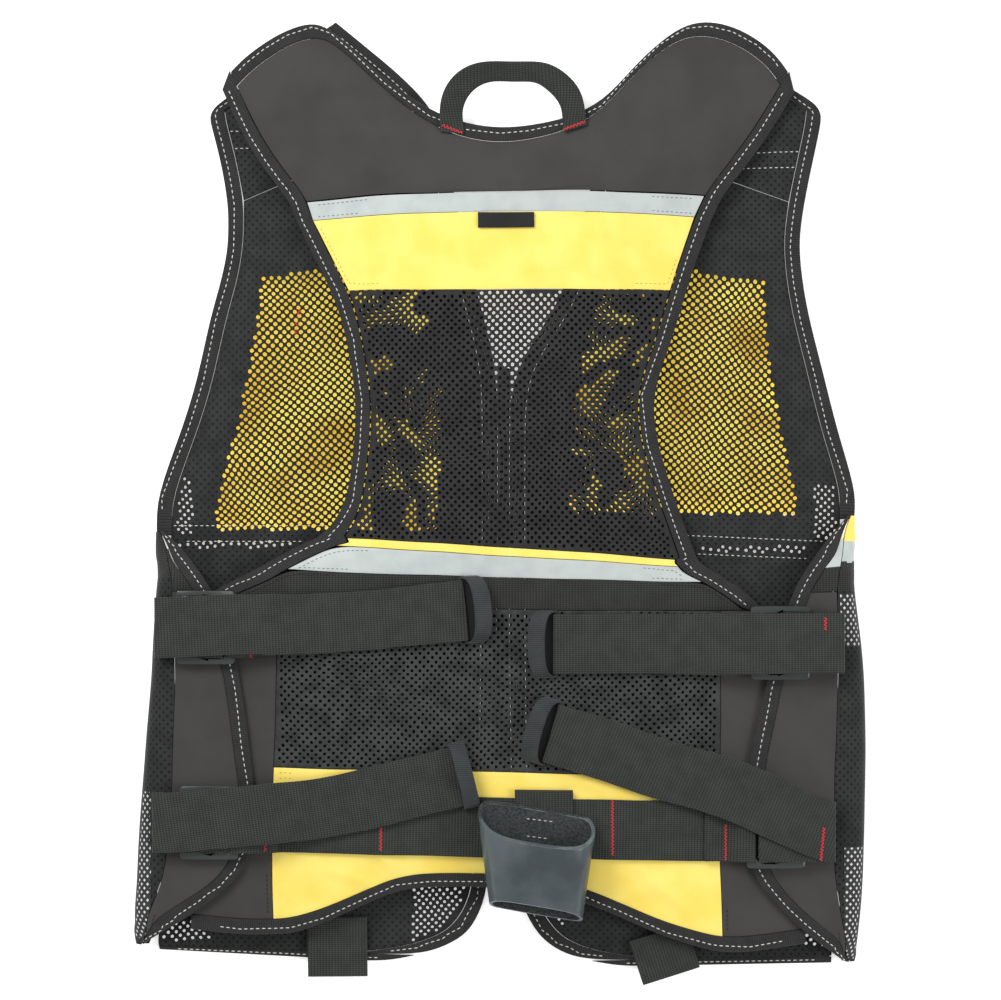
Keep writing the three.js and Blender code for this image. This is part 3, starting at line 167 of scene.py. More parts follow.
def smooth_piece(node, levels):
    """A copy of one piece with rounded lengths and kept edges."""
    shape = merged_copy(node)
    crease = shape.edges.layers.float.new("crease_edge")
    for edge in shape.edges:
        if len(edge.link_faces) == 2 and edge.calc_face_angle() > sharp_angle:
            edge[crease] = 1.0
    piece = put_in_scene(node + "_cloth", shape)
    rounding = piece.modifiers.new("rounding", "SUBSURF")
    rounding.levels = levels
    rounding.render_levels = levels
    applied(piece)
    return piece


surfaces = {}


def lay_out(node, piece):
    """Keeps the surface of a finished piece to sew on, and lets its weave follow the cloth as it lies now."""
    remember(node, piece)
    lie = piece.data.attributes.new("lie", "FLOAT_VECTOR", "POINT")
    for corner in piece.data.vertices:
        lie.data[corner.index].vector = corner.co


def remember(node, piece):
    """Keeps the surface of a piece, so that stitches can be set on it."""
    corners = [corner.co.copy() for corner in piece.data.vertices]
    surfaces[node] = BVHTree.FromPolygons(corners, [tuple(face.vertices) for face in piece.data.polygons])


def hold(piece, nodes):
    """Fixes a finished piece to the vest in place of its frame solids."""
    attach(piece, "root")
    if nodes:
        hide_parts(*nodes)


least_cover = 0.32
most_cover = 0.98
usual_cover = 0.94
least_width = 10.1 * MM


def cut_from_cloth(piece):
    """Works out a sheet's size: the box in which it lies, or from its area if it is folded. The size is not
    kept.
    """
    bpy.context.view_layer.update()
    shown = piece.evaluated_get(bpy.context.evaluated_depsgraph_get())
    area = sum(face.area for face in shown.data.polygons) / 2
    width, length = shown.dimensions.x, shown.dimensions.y
    fills_its_box = least_cover * width * length < area < most_cover * width * length
    if not fills_its_box:
        length = max(width, length)
        width = max(area / length / usual_cover, least_width)


def dress(node, material, levels=2, soften=0.5):
    """Makes one piece in cloth: smooth, settled and with soft edges."""
    piece = smooth_piece(node, levels)
    for corner in piece.data.vertices:
        corner.co = settled(corner.co)
    edges = piece.modifiers.new("soft edges", "BEVEL")
    edges.affect = "EDGES"
    edges.width = soften * MM
    edges.segments = 2
    edges.profile = 0.5
    edges.material = -1
    edges.limit_method = "ANGLE"
    edges.angle_limit = sharp_angle
    piece.data.materials.clear()
    piece.data.materials.append(material)
    lay_out(node, piece)
    hold(piece, [node])
    return piece


def linear(red, green, blue):
    """A colour as seen on a screen, turned into the amounts of light that the shader wants."""
    amounts = []
    for value in (red, green, blue):
        share = value / 255
        amounts.append(share / 12.92 if share <= 0.04045 else ((share + 0.055) / 1.055) ** 2.4)
    return (*amounts, 1.0)


# Painted shade: how dark the grooves between ribs are painted, as a share of the cloth's colour.
shade_between_ribs = (0.42, 0.42, 0.42, 1.0)


def woven(name, colour, shade, roughness, ribs=(0, 0), relief=0.3, blotch=30.0, sheen=0.1, grain=900.0,
          glow=0.0):
    """Cloth of uneven colour and fine grain, with ribs of the given widths, in millimetres, on it. The
    grooves between the ribs are darkened with painted shade, and a glow, if given, is painted light.
    """
    material = bpy.data.materials.new(name)
    material.use_nodes = True
    nodes = material.node_tree.nodes
    links = material.node_tree.links
    shader = nodes["Principled BSDF"]
    shader.inputs["Roughness"].default_value = roughness
    shader.inputs["Sheen Weight"].default_value = sheen
    shader.inputs["Specular IOR Level"].default_value = 0.3
    place = nodes.new("ShaderNodeAttribute")
    place.attribute_name = "lie"
    patches = nodes.new("ShaderNodeTexNoise")
    patches.inputs["Scale"].default_value = blotch
    patches.inputs["Detail"].default_value = 6.0
    links.new(place.outputs["Vector"], patches.inputs["Vector"])
    tint = nodes.new("ShaderNodeMix")
    tint.data_type = "RGBA"
    tint.inputs["A"].default_value = linear(*shade)
    tint.inputs["B"].default_value = linear(*colour)
    spread = nodes.new("ShaderNodeMapRange")
    spread.inputs["From Min"].default_value = 0.35
    spread.inputs["From Max"].default_value = 0.6
    links.new(patches.outputs["Fac"], spread.inputs["Value"])
    links.new(spread.outputs["Result"], tint.inputs["Factor"])
    fuzz = nodes.new("ShaderNodeTexNoise")
    fuzz.inputs["Scale"].default_value = grain
    links.new(place.outputs["Vector"], fuzz.inputs["Vector"])
    height = fuzz.outputs["Fac"]
    shown = tint.outputs["Result"]
    for direction, width in zip(("X", "Y"), ribs):
        if not width:
            continue
        wave = nodes.new("ShaderNodeTexWave")
        wave.bands_direction = direction
        wave.inputs["Scale"].default_value = math.pi / (10 * width * MM)
        wave.inputs["Distortion"].default_value = 0.4
        wave.inputs["Detail Scale"].default_value = 2.0
        links.new(place.outputs["Vector"], wave.inputs["Vector"])
        total = nodes.new("ShaderNodeMath")
        total.operation = "ADD"
        links.new(height, total.inputs[0])
        links.new(wave.outputs["Fac"], total.inputs[1])
        height = total.outputs["Value"]
        # Painted shade in the grooves between the ribs.
        groove_shade = nodes.new("ShaderNodeMix")
        groove_shade.data_type = "RGBA"
        groove_shade.blend_type = "MULTIPLY"
        groove_shade.inputs["B"].default_value = shade_between_ribs
        groove_mask = nodes.new("ShaderNodeMapRange")
        groove_mask.inputs["From Min"].default_value = 0.5
        groove_mask.inputs["From Max"].default_value = 0.0
        links.new(wave.outputs["Fac"], groove_mask.inputs["Value"])
        links.new(groove_mask.outputs["Result"], groove_shade.inputs["Factor"])
        links.new(shown, groove_shade.inputs["A"])
        shown = groove_shade.outputs["Result"]
    links.new(shown, shader.inputs["Base Color"])
    # A glow is painted light: the cloth gives off its own colour as light, though it is no lamp.
    if glow:
        links.new(shown, shader.inputs["Emission Color"])
        shader.inputs["Emission Strength"].default_value = glow
    bump = nodes.new("ShaderNodeBump")
    bump.inputs["Strength"].default_value = relief
    bump.inputs["Distance"].default_value = 0.3 * MM
    links.new(height, bump.inputs["Height"])
    links.new(bump.outputs["Normal"], shader.inputs["Normal"])
    return material


grey_cloth = woven("grey cloth", (65, 63, 62), (59, 57, 56), 0.9, relief=0.5, blotch=30)
yoke = dress("back_yoke", grey_cloth, levels=3, soften=0.6)

# Coated yellow cloth makes the shoulder band, the waist piping, the lower panel and the two chest pockets.
# It is stiff and crinkles a little. The pockets have a painted glow, light of their own that stands in for
# the light that comes through the mesh and falls on them; their darker amber patches are painted shade.
# Grey reflective tapes are sewn along the shoulder band and below the piping.
yellow_cloth = woven(
    "yellow cloth", (250, 227, 116), (247, 218, 98), 0.62, relief=0.12, blotch=45, sheen=0.05)
pocket_cloth_painted_light = woven("pocket cloth with painted light", (255, 232, 98), (222, 178, 44), 0.7, relief=0.12, blotch=24, glow=0.7)
silver_tape = woven("silver tape", (186, 193, 191), (177, 184, 183), 0.42, relief=0.15, blotch=80)
cut_from_cloth(dress("yoke_yellow_band", yellow_cloth, levels=3))
dress("waist_yellow_piping", yellow_cloth, soften=0.8)
cut_from_cloth(dress("lower_yellow_panel", yellow_cloth, levels=3))
for side in ("left", "right"):
    cut_from_cloth(dress("pocket_" + side, pocket_cloth_painted_light))
cut_from_cloth(dress("yoke_reflective_tape", silver_tape, levels=3, soften=0.4))
cut_from_cloth(dress("waist_reflective_tape", silver_tape, soften=0.4))

# The back, the fronts and the sides are of black knitted spacer mesh. Its round holes stand in rows, each
# row half a step aside. They go right through; where a lining lies behind, the dark pits are painted shade.
# The mesh of the lower back is a little paler, with smaller holes.
black_mesh = woven("black mesh", (43, 43, 44), (33, 33, 35), 0.85, relief=0.3, blotch=90)
front_mesh = woven("front mesh", (35, 35, 36), (26, 26, 27), 0.85, relief=0.3, blotch=90)
pale_mesh = woven("pale mesh", (59, 60, 60), (40, 41, 41), 0.8, relief=0.3, blotch=90)


mesh_step = 5.1 * MM
mesh_row = 2.54 * MM
dot_pitch = 3.6 * MM


def dotted(material, dot):
    """Adds rows of dots to a cloth: painted shade as dark pits where a mesh is lined, or painted light as
    pale dots where the lit floor would show through.
    """
    nodes = material.node_tree.nodes
    links = material.node_tree.links
    shader = nodes["Principled BSDF"]
    place = nodes.new("ShaderNodeAttribute")
    place.attribute_name = "lie"
    turn = nodes.new("ShaderNodeMapping")
    turn.inputs["Rotation"].default_value = (0.0, 0.0, math.radians(45))
    links.new(place.outputs["Vector"], turn.inputs["Vector"])
    waves = []
    for direction in ("X", "Y"):
        wave = nodes.new("ShaderNodeTexWave")
        wave.bands_direction = direction
        wave.inputs["Scale"].default_value = math.pi / (10 * dot_pitch)
        links.new(turn.outputs["Vector"], wave.inputs["Vector"])
        waves.append(wave.outputs["Fac"])
    both = nodes.new("ShaderNodeMath")
    both.operation = "MAXIMUM"
    links.new(waves[0], both.inputs[0])
    links.new(waves[1], both.inputs[1])
    pit = nodes.new("ShaderNodeMapRange")
    pit.inputs["From Min"].default_value = 0.42
    pit.inputs["From Max"].default_value = 0.3
    links.new(both.outputs["Value"], pit.inputs["Value"])
    shown = nodes.new("ShaderNodeMix")
    shown.data_type = "RGBA"
    shown.inputs["B"].default_value = linear(*dot)
    links.new(pit.outputs["Result"], shown.inputs["Factor"])
    links.new(shader.inputs["Base Color"].links[0].from_socket, shown.inputs["A"])
    links.new(shown.outputs["Result"], shader.inputs["Base Color"])
    return material


# Painted light: pale dots stand for the lit floor seen through the edge mesh. Painted shade: near-black pits
# in the lined mesh.
edge_mesh_painted_light = dotted(woven("edge mesh with painted light", (52, 53, 53), (44, 45, 45), 0.85), (208, 208, 208))
lined_mesh_painted_pits = dotted(woven("lined mesh with painted pits", (42, 43, 43), (32, 33, 33), 0.85, relief=0.3, blotch=90), (7, 7, 8))


def upper_faces(node):
    """The upper side of a settled sheet, as corner places and faces."""
    piece = smooth_piece(node, 2)
    for corner in piece.data.vertices:
        corner.co = settled(corner.co)
    faces = [tuple(face.vertices) for face in piece.data.polygons if face.normal.z > 0.35]
    corners = [corner.co.copy() for corner in piece.data.vertices]
    bpy.data.objects.remove(piece)
    return corners, faces


def pull(x, y, wide, tall, seed):
    """How the cloth is pulled aside at a place, over waves of about the given width and height."""
    aside = noise.noise(Vector((x / wide, y / tall, seed)))
    along_it = noise.noise(Vector((x / tall, y / wide, seed + 9.5)))
    return Vector((aside, along_it, 0.0))


def knitted(x, y, turn, seed):
    """Where a place of the straight knit ends up: the cloth is cut at a slight turn and pulled uneven."""
    broad = pull(x, y, 0.045, 0.06, seed) * 2.6 * MM
    fine = pull(x, y, 0.014, 0.014, seed) * 0.9 * MM
    return Matrix.Rotation(math.radians(turn), 3, "Z") @ Vector((x, y, 0)) + broad + fine


# Where light shows through the fronts beside the pockets: the least and greatest x and y, in millimetres
open_spots = [
    (-218, -196, -20, 16), (-220, -185, -279, -267), (-56, -17, -281, -242), (17, 40, -276, -259),
    (195, 208, -283, -272), (72, 112, 109, 137), (200, 224, -22, 12), (-208, -133, -28, -24),
    (127, 196, -31, -27),
]


def in_open_spot(x, y):
    """Whether a place is in one of the spots where a front's mesh is a single sheer layer."""
    for left, right, bottom, top in open_spots:
        if left * MM < x < right * MM and bottom * MM < y < top * MM:
            return True
    return False


def opening_share(side, x, y):
    """How wide the holes of a front stand open at a place, from 0 for a lining to 1 over the pocket."""
    pocket = surfaces["pocket_" + side]
    beside = [(0, 1.8), (-1.8, 0), (1.8, 0)]
    above = 100 * MM
    over_pocket = all(
        pocket.ray_cast(Vector((x + dx * MM, y + dy * MM, above)), DOWN)[0] for dx, dy in beside)
    if not over_pocket:
        return 0.78 if in_open_spot(x, y) else 0.0
    if surfaces["back_mesh_upper"].ray_cast(Vector((x, y, 0)), -DOWN)[0] is None:
        return 1.0
    bunched = noise.noise(Vector((x / (20 * MM), y / (32 * MM), 31.5)))
    bunched += 0.4 * noise.noise(Vector((x, y, 0)) / (7 * MM))
    return max(0.0, min(1.0, 0.35 + 2.2 * bunched))


rim_places = [(0.5, -1 / 3), (0.5, 1 / 3), (0, 2 / 3), (-0.5, 1 / 3), (-0.5, -1 / 3), (0, -2 / 3)]
ring_angles = [math.radians(turn) for turn in (-30, 30, 90, 150, 210, -90)]
least_open = 0.3


def mesh_panel(node, cloth, hole, wall, turn=0.0, seed=2.5, side=None):
    """A sheet of mesh cloth with real holes, cut to the outline of its frame solid. A front has a side."""
    corners, faces = upper_faces(node)
    flat = BVHTree.FromPolygons([Vector((c.x, c.y, 0)) for c in corners], faces)
    low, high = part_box(node)
    same_place = 0.02 * MM
    spots = {}
    places = []
    inside = []

    def spot(x, y):
        key = (round(x / same_place), round(y / same_place))
        if key not in spots:
            near, _, face, away = flat.find_nearest(knitted(x, y, turn, seed))
            first, second, third = (corners[index] for index in faces[face][:3])
            normal = (second - first).cross(third - first)
            height = first.z - ((near.x - first.x) * normal.x + (near.y - first.y) * normal.y) / normal.z
            spots[key] = len(places)
            places.append(Vector((near.x, near.y, height)))
            inside.append(0 if away > 0.6 * mesh_step else 1 if away > doubled else 2)
        return spots[key]

    cells = []
    lined = []
    spare = 24 * MM
    rows = int((high.y - low.y + 2 * spare) / mesh_row) + 3
    columns = int((high.x - low.x + 2 * spare) / mesh_step) + 3
    for line in range(rows):
        for place in range(columns):
            x = low.x - spare + (place - 1 + 0.5 * (line % 2)) * mesh_step
            y = low.y - spare + (line - 1) * mesh_row
            middle = knitted(x, y, turn, seed)
            if flat.find_nearest(middle)[3] > mesh_step:
                continue
            rim = [spot(x + dx * mesh_step, y + dy * mesh_row) for dx, dy in rim_places]
            states = [inside[corner] for corner in rim]
            share = 1.0 if side is None else opening_share(side, *middle.xy)
            # Cells over a lining keep no hole and get the painted dark pits of shade instead.
            if share < least_open and max(states) == 2:
                lined.append(tuple(rim))
            elif min(states) == 2:
                reach = hole * share / 2
                ring = [spot(x + reach * math.cos(turned), y + reach * math.sin(turned))
                        for turned in ring_angles]
                for part in range(len(rim)):
                    ahead = (part + 1) % len(rim)
                    cells.append((rim[part], rim[ahead], ring[ahead], ring[part]))
            elif min(states) == 1 or (min(states) == 0 and max(states) == 2):
                cells.append(tuple(rim))
    shape = bmesh.new()
    posts = [shape.verts.new(place) for place in places]
    for kind, group in enumerate((cells, lined)):
        for cell in group:
            if len(set(cell)) == len(cell):
                shape.faces.new([posts[corner] for corner in cell]).material_index = kind
    bmesh.ops.delete(shape, geom=[post for post in shape.verts if not post.link_faces], context="VERTS")
    bmesh.ops.dissolve_degenerate(shape, dist=same_place, edges=shape.edges)
    bmesh.ops.recalc_face_normals(shape, faces=shape.faces)
    if sum(face.normal.z for face in shape.faces) < 0:
        bmesh.ops.reverse_faces(shape, faces=shape.faces)
    piece = put_in_scene(node + "_cloth", shape)
    body = piece.modifiers.new("cloth thickness", "SOLIDIFY")
    body.thickness = wall * MM
    body.offset = -1.0
    piece.data.materials.append(cloth)
    piece.data.materials.append(lined_mesh_painted_pits)
    lay_out(node, piece)
    hold(piece, [node])
    cut_from_cloth(piece)


mesh_panel("back_mesh_upper", black_mesh, hole=2.3 * MM, wall=0.7, seed=3.5)
mesh_panel("back_mesh_lower", pale_mesh, hole=2.1 * MM, wall=0.9)
for side in ("left", "right"):
    lean = 5.0 if side == "left" else -6.0
    mesh_panel("front_mesh_" + side, front_mesh, hole=2.75 * MM, wall=0.7, turn=lean, seed=6.5, side=side)
    cut_from_cloth(dress("side_mesh_" + side, lined_mesh_painted_pits, levels=3))
    shoulder = dress("front_shoulder_" + side, lined_mesh_painted_pits, soften=0.6)

# Grey side strips and side panels of plain woven cloth are sewn to the edges of the back and of the fronts.
# A ribbed elastic band joins them at the waist, and a short grey tape is sewn to the right side.
ribbed = woven("ribbed band", (55, 57, 54), (48, 50, 47), 0.85, ribs=(1.9, 1.3), relief=0.6, blotch=70)
for side in ("left", "right"):
    cut_from_cloth(dress("back_side_strip_" + side, grey_cloth))
    cut_from_cloth(dress("side_panel_" + side, grey_cloth))
    cut_from_cloth(dress("side_band_" + side, ribbed))
cut_from_cloth(dress("waist_band", ribbed))
cut_from_cloth(dress("side_tape_right", silver_tape, soften=0.4))

# The waist band, tape and piping run on round the fold of each side, where they are sewn over the mesh.
# Near the edge the mesh is a single layer, with nothing behind it.
# Each wrap gives the least and greatest x and y, in millimetres, and the cloth that shows there.
every_x = (-500, 500)
wraps = {
    "left": [
        {"x": every_x, "y": (-47, 0), "cloth": ribbed},
        {"x": (-240, -222.5), "y": (-277, -182), "cloth": edge_mesh_painted_light},
    ],
    "right": [
        {"x": every_x, "y": (-23.6, 0), "cloth": yellow_cloth},
        {"x": every_x, "y": (-37, -23.6), "cloth": silver_tape},
        {"x": every_x, "y": (-56, -37), "cloth": ribbed},
        {"x": (219, 240), "y": (-290, -220), "cloth": edge_mesh_painted_light},
        {"x": (216, 240), "y": (-90, -58), "cloth": edge_mesh_painted_light},
    ],
}
for side, bands in wraps.items():
    piece = bpy.data.objects["side_mesh_" + side + "_cloth"]
    for index, band in enumerate(bands):
        left, right = band["x"]
        bottom, top = band["y"]
        piece.data.materials.append(band["cloth"])
        for face in piece.data.polygons:
            x, y = face.center.xy
            # The painted pale dots of the edge mesh go on flatter faces only.
            too_steep = band["cloth"] is edge_mesh_painted_light and face.normal.z < 0.5
            if left * MM < x < right * MM and bottom * MM < y < top * MM and not too_steep:
                face.material_index = index + 1
    outward = -1 if side == "left" else 1
    grain = piece.data.attributes["lie"]
    for corner in piece.data.vertices:
        x, y, z = corner.co
        grain.data[corner.index].vector = (x - outward * z, y, z)

# Black woven binding is folded over every cut edge of the cloth and sewn down with one row of white thread.
# It is ribbed across, and its edges are rounded by the fold.
binding_cloth = woven("binding", (46, 47, 46), (39, 40, 39), 0.82, ribs=(1.5, 0), relief=0.4, blotch=120)
thread_white = woven("white thread", (214, 214, 208), (196, 196, 190), 0.6, relief=0.1)


def strip_line(node, share):
    """Points along a strip that is one face wide, at a share of its width, on its upper side."""
    shape = bmesh.new()
    shape.from_mesh(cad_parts[node].data)
    bmesh.ops.remove_doubles(shape, verts=shape.verts, dist=doubled)
    bmesh.ops.recalc_face_normals(shape, faces=shape.faces)
    upper = set(face for face in shape.faces if face.normal.z > 0.45)
    neighbours = {}
    for face in upper:
        neighbours[face] = []
        for edge in face.edges:
            for other in edge.link_faces:
                if other is not face and other in upper:
                    neighbours[face].append((edge, other))
    ends = [face for face in upper if len(neighbours[face]) == 1]
    best = []
    for end in sorted(ends, key=lambda face: face.calc_center_median().y)[:2]:
        seen = {end}
        face = end
        line = []
        one = None
        while True:
            onward = [(edge, other) for edge, other in neighbours[face] if other not in seen]
            if not onward:
                break
            edge, face = onward[0]
            seen.add(face)
            first, second = edge.verts
            if one is not None and (second is one or first is two):
                first, second = second, first
            one, two = first, second
            line.append(one.co.lerp(two.co, share))
        if len(line) > len(best):
            best = line
    shape.free()
    return best


def along(line, pitch):
    """Evenly spaced places on a line, each with the direction in which the line runs."""
    places = []
    left = pitch / 2
    for start, end in zip(line, line[1:]):
        run = end - start
        length = run.length
        while left < length:
            places.append((start + run * (left / length), run.normalized()))
            left += pitch
        left -= length
    return places


def sew(shape, tree, place, direction, length, width):
    """One stitch: a small rounded bead of thread that lies on the cloth below a place."""
    near, normal, _, _ = tree.find_nearest(place)
    if normal.z < 0:
        normal = -normal
    run = (direction - normal * direction.dot(normal)).normalized()
    across = normal.cross(run)
    thickness = width * 0.8
    turn = Matrix((run * length, across * width, normal * thickness)).transposed().to_4x4()
    turn.translation = near + normal * 0.05 * MM
    bmesh.ops.create_icosphere(shape, subdivisions=1, radius=0.5, matrix=turn)


def stitches(name, rows, thread, length=2.9, width=0.8, pitch=3.8):
    """All the stitches of a group of seams. Each of the rows is a cloth surface and a line on it."""
    shape = bmesh.new()
    for tree, line in rows:
        for place, direction in along(line, pitch * MM):
            sew(shape, tree, place, direction, length * MM, width * MM)
    piece = put_in_scene(name, shape)
    piece.data.materials.append(thread)
    hold(piece, [])


# Where the row of stitches runs on each binding, as a share of its width
bound_edges = {
    "neck_binding": 0.62, "back_hem_binding": 0.4,
    "armhole_binding_left": 0.62, "armhole_binding_right": 0.62,
    "front_armhole_binding_left": 0.6, "front_armhole_binding_right": 0.6,
    "front_centre_binding_left": 0.6, "front_centre_binding_right": 0.6,
    "front_hem_binding_left": 0.5, "front_hem_binding_right": 0.5,
    "side_edge_binding_left": 0.55, "side_edge_binding_right": 0.55,
}


def run_ribs_along(piece, line):
    """Turns the cloth's grain so that it follows a line."""
    lengths = [0.0]
    for start, end in zip(line, line[1:]):
        lengths.append(lengths[-1] + (end - start).length)
    grain = piece.data.attributes["lie"]
    for corner in piece.data.vertices:
        best = min(range(len(line)), key=lambda index: (line[index] - corner.co).length_squared)
        back = max(best - 1, 0)
        ahead = min(best + 1, len(line) - 1)
        run = (line[ahead] - line[back]).normalized()
        away = corner.co - line[best]
        forward = away.dot(run)
        grain.data[corner.index].vector = (
            lengths[best] + forward, run.cross(Vector((0, 0, 1))).dot(away), corner.co.z)


def lengthen(piece, line, by):
    """Draws the two ends of a binding out a little, so that it meets the next one."""
    for end, before in ((line[0], line[1]), (line[-1], line[-2])):
        onward = (end - before).normalized()
        beyond = []
        for corner in piece.data.vertices:
            away = corner.co - end
            if away.length < 26 * MM and away.dot(onward) > 0:
                beyond.append(corner)
        reach = max((corner.co - end).dot(onward) for corner in beyond) if beyond else 0
        for corner in beyond:
            corner.co += onward * by * MM * (corner.co - end).dot(onward) / reach


# How far the ends of some bindings are drawn out, in millimetres
drawn_out = {
    "neck_binding": 2.6, "armhole_binding_left": 1.6, "armhole_binding_right": 1.6,
    "front_armhole_binding_left": 3.5, "front_armhole_binding_right": 3.5,
}
rows = []
for node, share in bound_edges.items():
    piece = dress(node, binding_cloth, soften=1.1)
    line = [settled(point) for point in strip_line(node, share)]
    run_ribs_along(piece, line)
    if node in drawn_out:
        lengthen(piece, line, drawn_out[node])
    rows.append((surfaces[node], line))
stitches("binding_stitches", rows, thread_white)

# Straps, belt, hanging loops and tabs are woven webbing with ribs across it, cut from one wide roll or a
# narrow one. They run through the buckles and are sewn down with dense red bars of thread.
webbing = woven("webbing", (62, 65, 61), (54, 57, 54), 0.8, ribs=(1.9, 1.3), relief=0.8, blotch=100)


def ribs_with_length(piece):
    """Turns the cloth's grain to the longest direction of a nearly straight piece."""
    spots = [corner.co.xy for corner in piece.data.vertices]
    middle = sum(spots, Vector((0, 0))) / len(spots)
    spread_x = sum((spot - middle).x ** 2 for spot in spots)
    spread_y = sum((spot - middle).y ** 2 for spot in spots)
    both = sum((spot - middle).x * (spot - middle).y for spot in spots)
    angle = 0.5 * math.atan2(2 * both, spread_x - spread_y)
    turn = Matrix.Rotation(-angle, 3, "Z")
    grain = piece.data.attributes["lie"]
    for corner in piece.data.vertices:
        grain.data[corner.index].vector = turn @ corner.co


def squared(piece):
    """Pushes the bend of the hanging loop out towards its corners, as folded webbing bends."""
    low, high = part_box("hang_loop")
    foot = Vector(((low.x + high.x) / 2, low.y, 0))
    corner_push = 0.11
    for corner in piece.data.vertices:
        away = corner.co - foot
        angle = math.atan2(max(away.y, 0), abs(away.x))
        push = corner_push * math.sin(2 * angle) ** 2
        corner.co += Vector((away.x, max(away.y, 0), 0)) * push


webbing_pieces = ["waist_belt", "hammer_loop_hanger", "hang_loop", "hem_loop_left", "hem_loop_right",
                  "front_closure", "buckle_tab_upper_left", "buckle_tab_upper_right"]
webbing_pieces += [buckle.replace("buckle", "strap") for buckle in BUCKLES]
for node in webbing_pieces:
    strap = dress(node, webbing, soften=0.4)
    ribs_with_length(strap)
    if node == "hang_loop":
        squared(strap)
    cut_from_cloth(strap)

# The four ladder-lock buckles are moulded dark plastic with rounded rails and a slight gloss.
# The webbing goes round their bars and holds them.
plastic = woven("buckle plastic", (58, 63, 62), (51, 56, 55), 0.28, relief=0.05, sheen=0.0)
for node in BUCKLES:
    dress(node, plastic, levels=1, soften=0.8)

# The elastic keepers are narrow ribbed bands, sewn into rings that arch over the webbing.
# They hold the loose ends of the straps. Their inside is painted shade: a much darker copy of the elastic.
elastic = woven("elastic", (58, 62, 63), (49, 53, 54), 0.75, ribs=(0, 1.3), relief=0.6, blotch=90)
elastic_inside_painted_shade = woven("painted shade inside the elastic", (22, 23, 23), (16, 17, 17), 0.85, relief=0.2)


def shade_ring_inside(piece, inner_shade):
    """Gives the faces that look towards the middle of a ring-shaped piece a material of their own, for the
    keepers painted shade.
    """
    spots = [corner.co for corner in piece.data.vertices]
    middle = sum(spots, Vector((0, 0, 0))) / len(spots)
    piece.data.materials.append(inner_shade)
    for face in piece.data.polygons:
        if (face.center - middle).dot(face.normal) < 0:
            face.material_index = 1


for node in BUCKLES:
    shade_ring_inside(dress(node.replace("buckle", "keeper"), elastic, soften=0.4), elastic_inside_painted_shade)

# The hammer loop is thick blue-black leather with a cut edge, bent into an oval that stands off the hem.
# It is smooth outside and rough inside, and hangs a little aslant.
# The leather's lighter and darker clouds are partly its uneven tone and partly painted highlight.
leather = woven("leather", (84, 93, 96), (62, 69, 73), 0.28, relief=0.12, blotch=30, sheen=0.0, grain=700)
flesh = woven(
    "leather flesh side", (62, 66, 66), (34, 37, 38), 0.8, relief=0.9, blotch=700, sheen=0.0, grain=500)
cut_edge = woven("leather cut edge", (104, 113, 114), (84, 92, 93), 0.6, relief=0.3, blotch=200, sheen=0.0)
loop = dress("hammer_loop", leather, levels=3, soften=0.6)
low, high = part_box("hammer_loop")
loop_middle = (low + high) / 2
loop_slant = 0.17
for corner in loop.data.vertices:
    corner.co.y -= loop_slant * (corner.co.x - loop_middle.x)
remember("hammer_loop", loop)
loop.data.materials.append(flesh)
loop.data.materials.append(cut_edge)
for face in loop.data.polygons:
    out = face.center - loop_middle
    small = face.area < 4 * MM * MM
    if abs(face.normal.y) > 0.75 and small:
        face.material_index = 2
    elif out.x * face.normal.x + out.z * face.normal.z < 0:
        face.material_index = 1

# The label is a small blank tab of smooth black cloth.
# Its upper edge is sewn in under the shoulder tape.
label_cloth = woven("label cloth", (30, 30, 31), (22, 22, 23), 0.7, relief=0.2)
dress("label_tab", label_cloth, soften=0.3)

# Seams of the panels are rows of short stitches a few millimetres in from the edges. Their thread is near the
# colour of the cloth that it holds.
thread_tan = woven("tan thread", (176, 146, 44), (160, 130, 36), 0.6, relief=0.1)
thread_grey = woven("grey thread", (104, 110, 114), (92, 98, 102), 0.6, relief=0.1)
thread_black = woven("dark thread", (24, 24, 24), (16, 16, 16), 0.6, relief=0.1)


def panel_edge(node, edge, inward, margin):
    """A line just inside one edge of a panel: its top, bottom, left or right."""
    low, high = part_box(node)
    corners, faces = upper_faces(node)
    flat = BVHTree.FromPolygons([Vector((c.x, c.y, 0)) for c in corners], faces)
    run, across = (0, 1) if edge in ("top", "bottom") else (1, 0)
    far = edge in ("top", "right")
    steps = 160
    line = []
    at = low[run] + margin * MM
    while at < high[run] - margin * MM:
        within = []
        for step in range(steps + 1):
            spot = Vector((0, 0, 0))
            spot[run] = at
            spot[across] = low[across] + (high[across] - low[across]) * step / steps
            if flat.find_nearest(spot)[3] < doubled:
                within.append(spot[across])
        if within:
            spot = Vector((0, 0, (low.z + high.z) / 2))
            spot[run] = at
            spot[across] = max(within) - inward * MM if far else min(within) + inward * MM
            line.append(spot)
        at += 6 * MM
    return line


def edge_seam(node, edge, inward, margin):
    """The cloth surface of a panel and a line on it along one edge, for a row of stitches."""
    tree = surfaces[node]
    return tree, [tree.find_nearest(spot)[0] for spot in panel_edge(node, edge, inward, margin)]


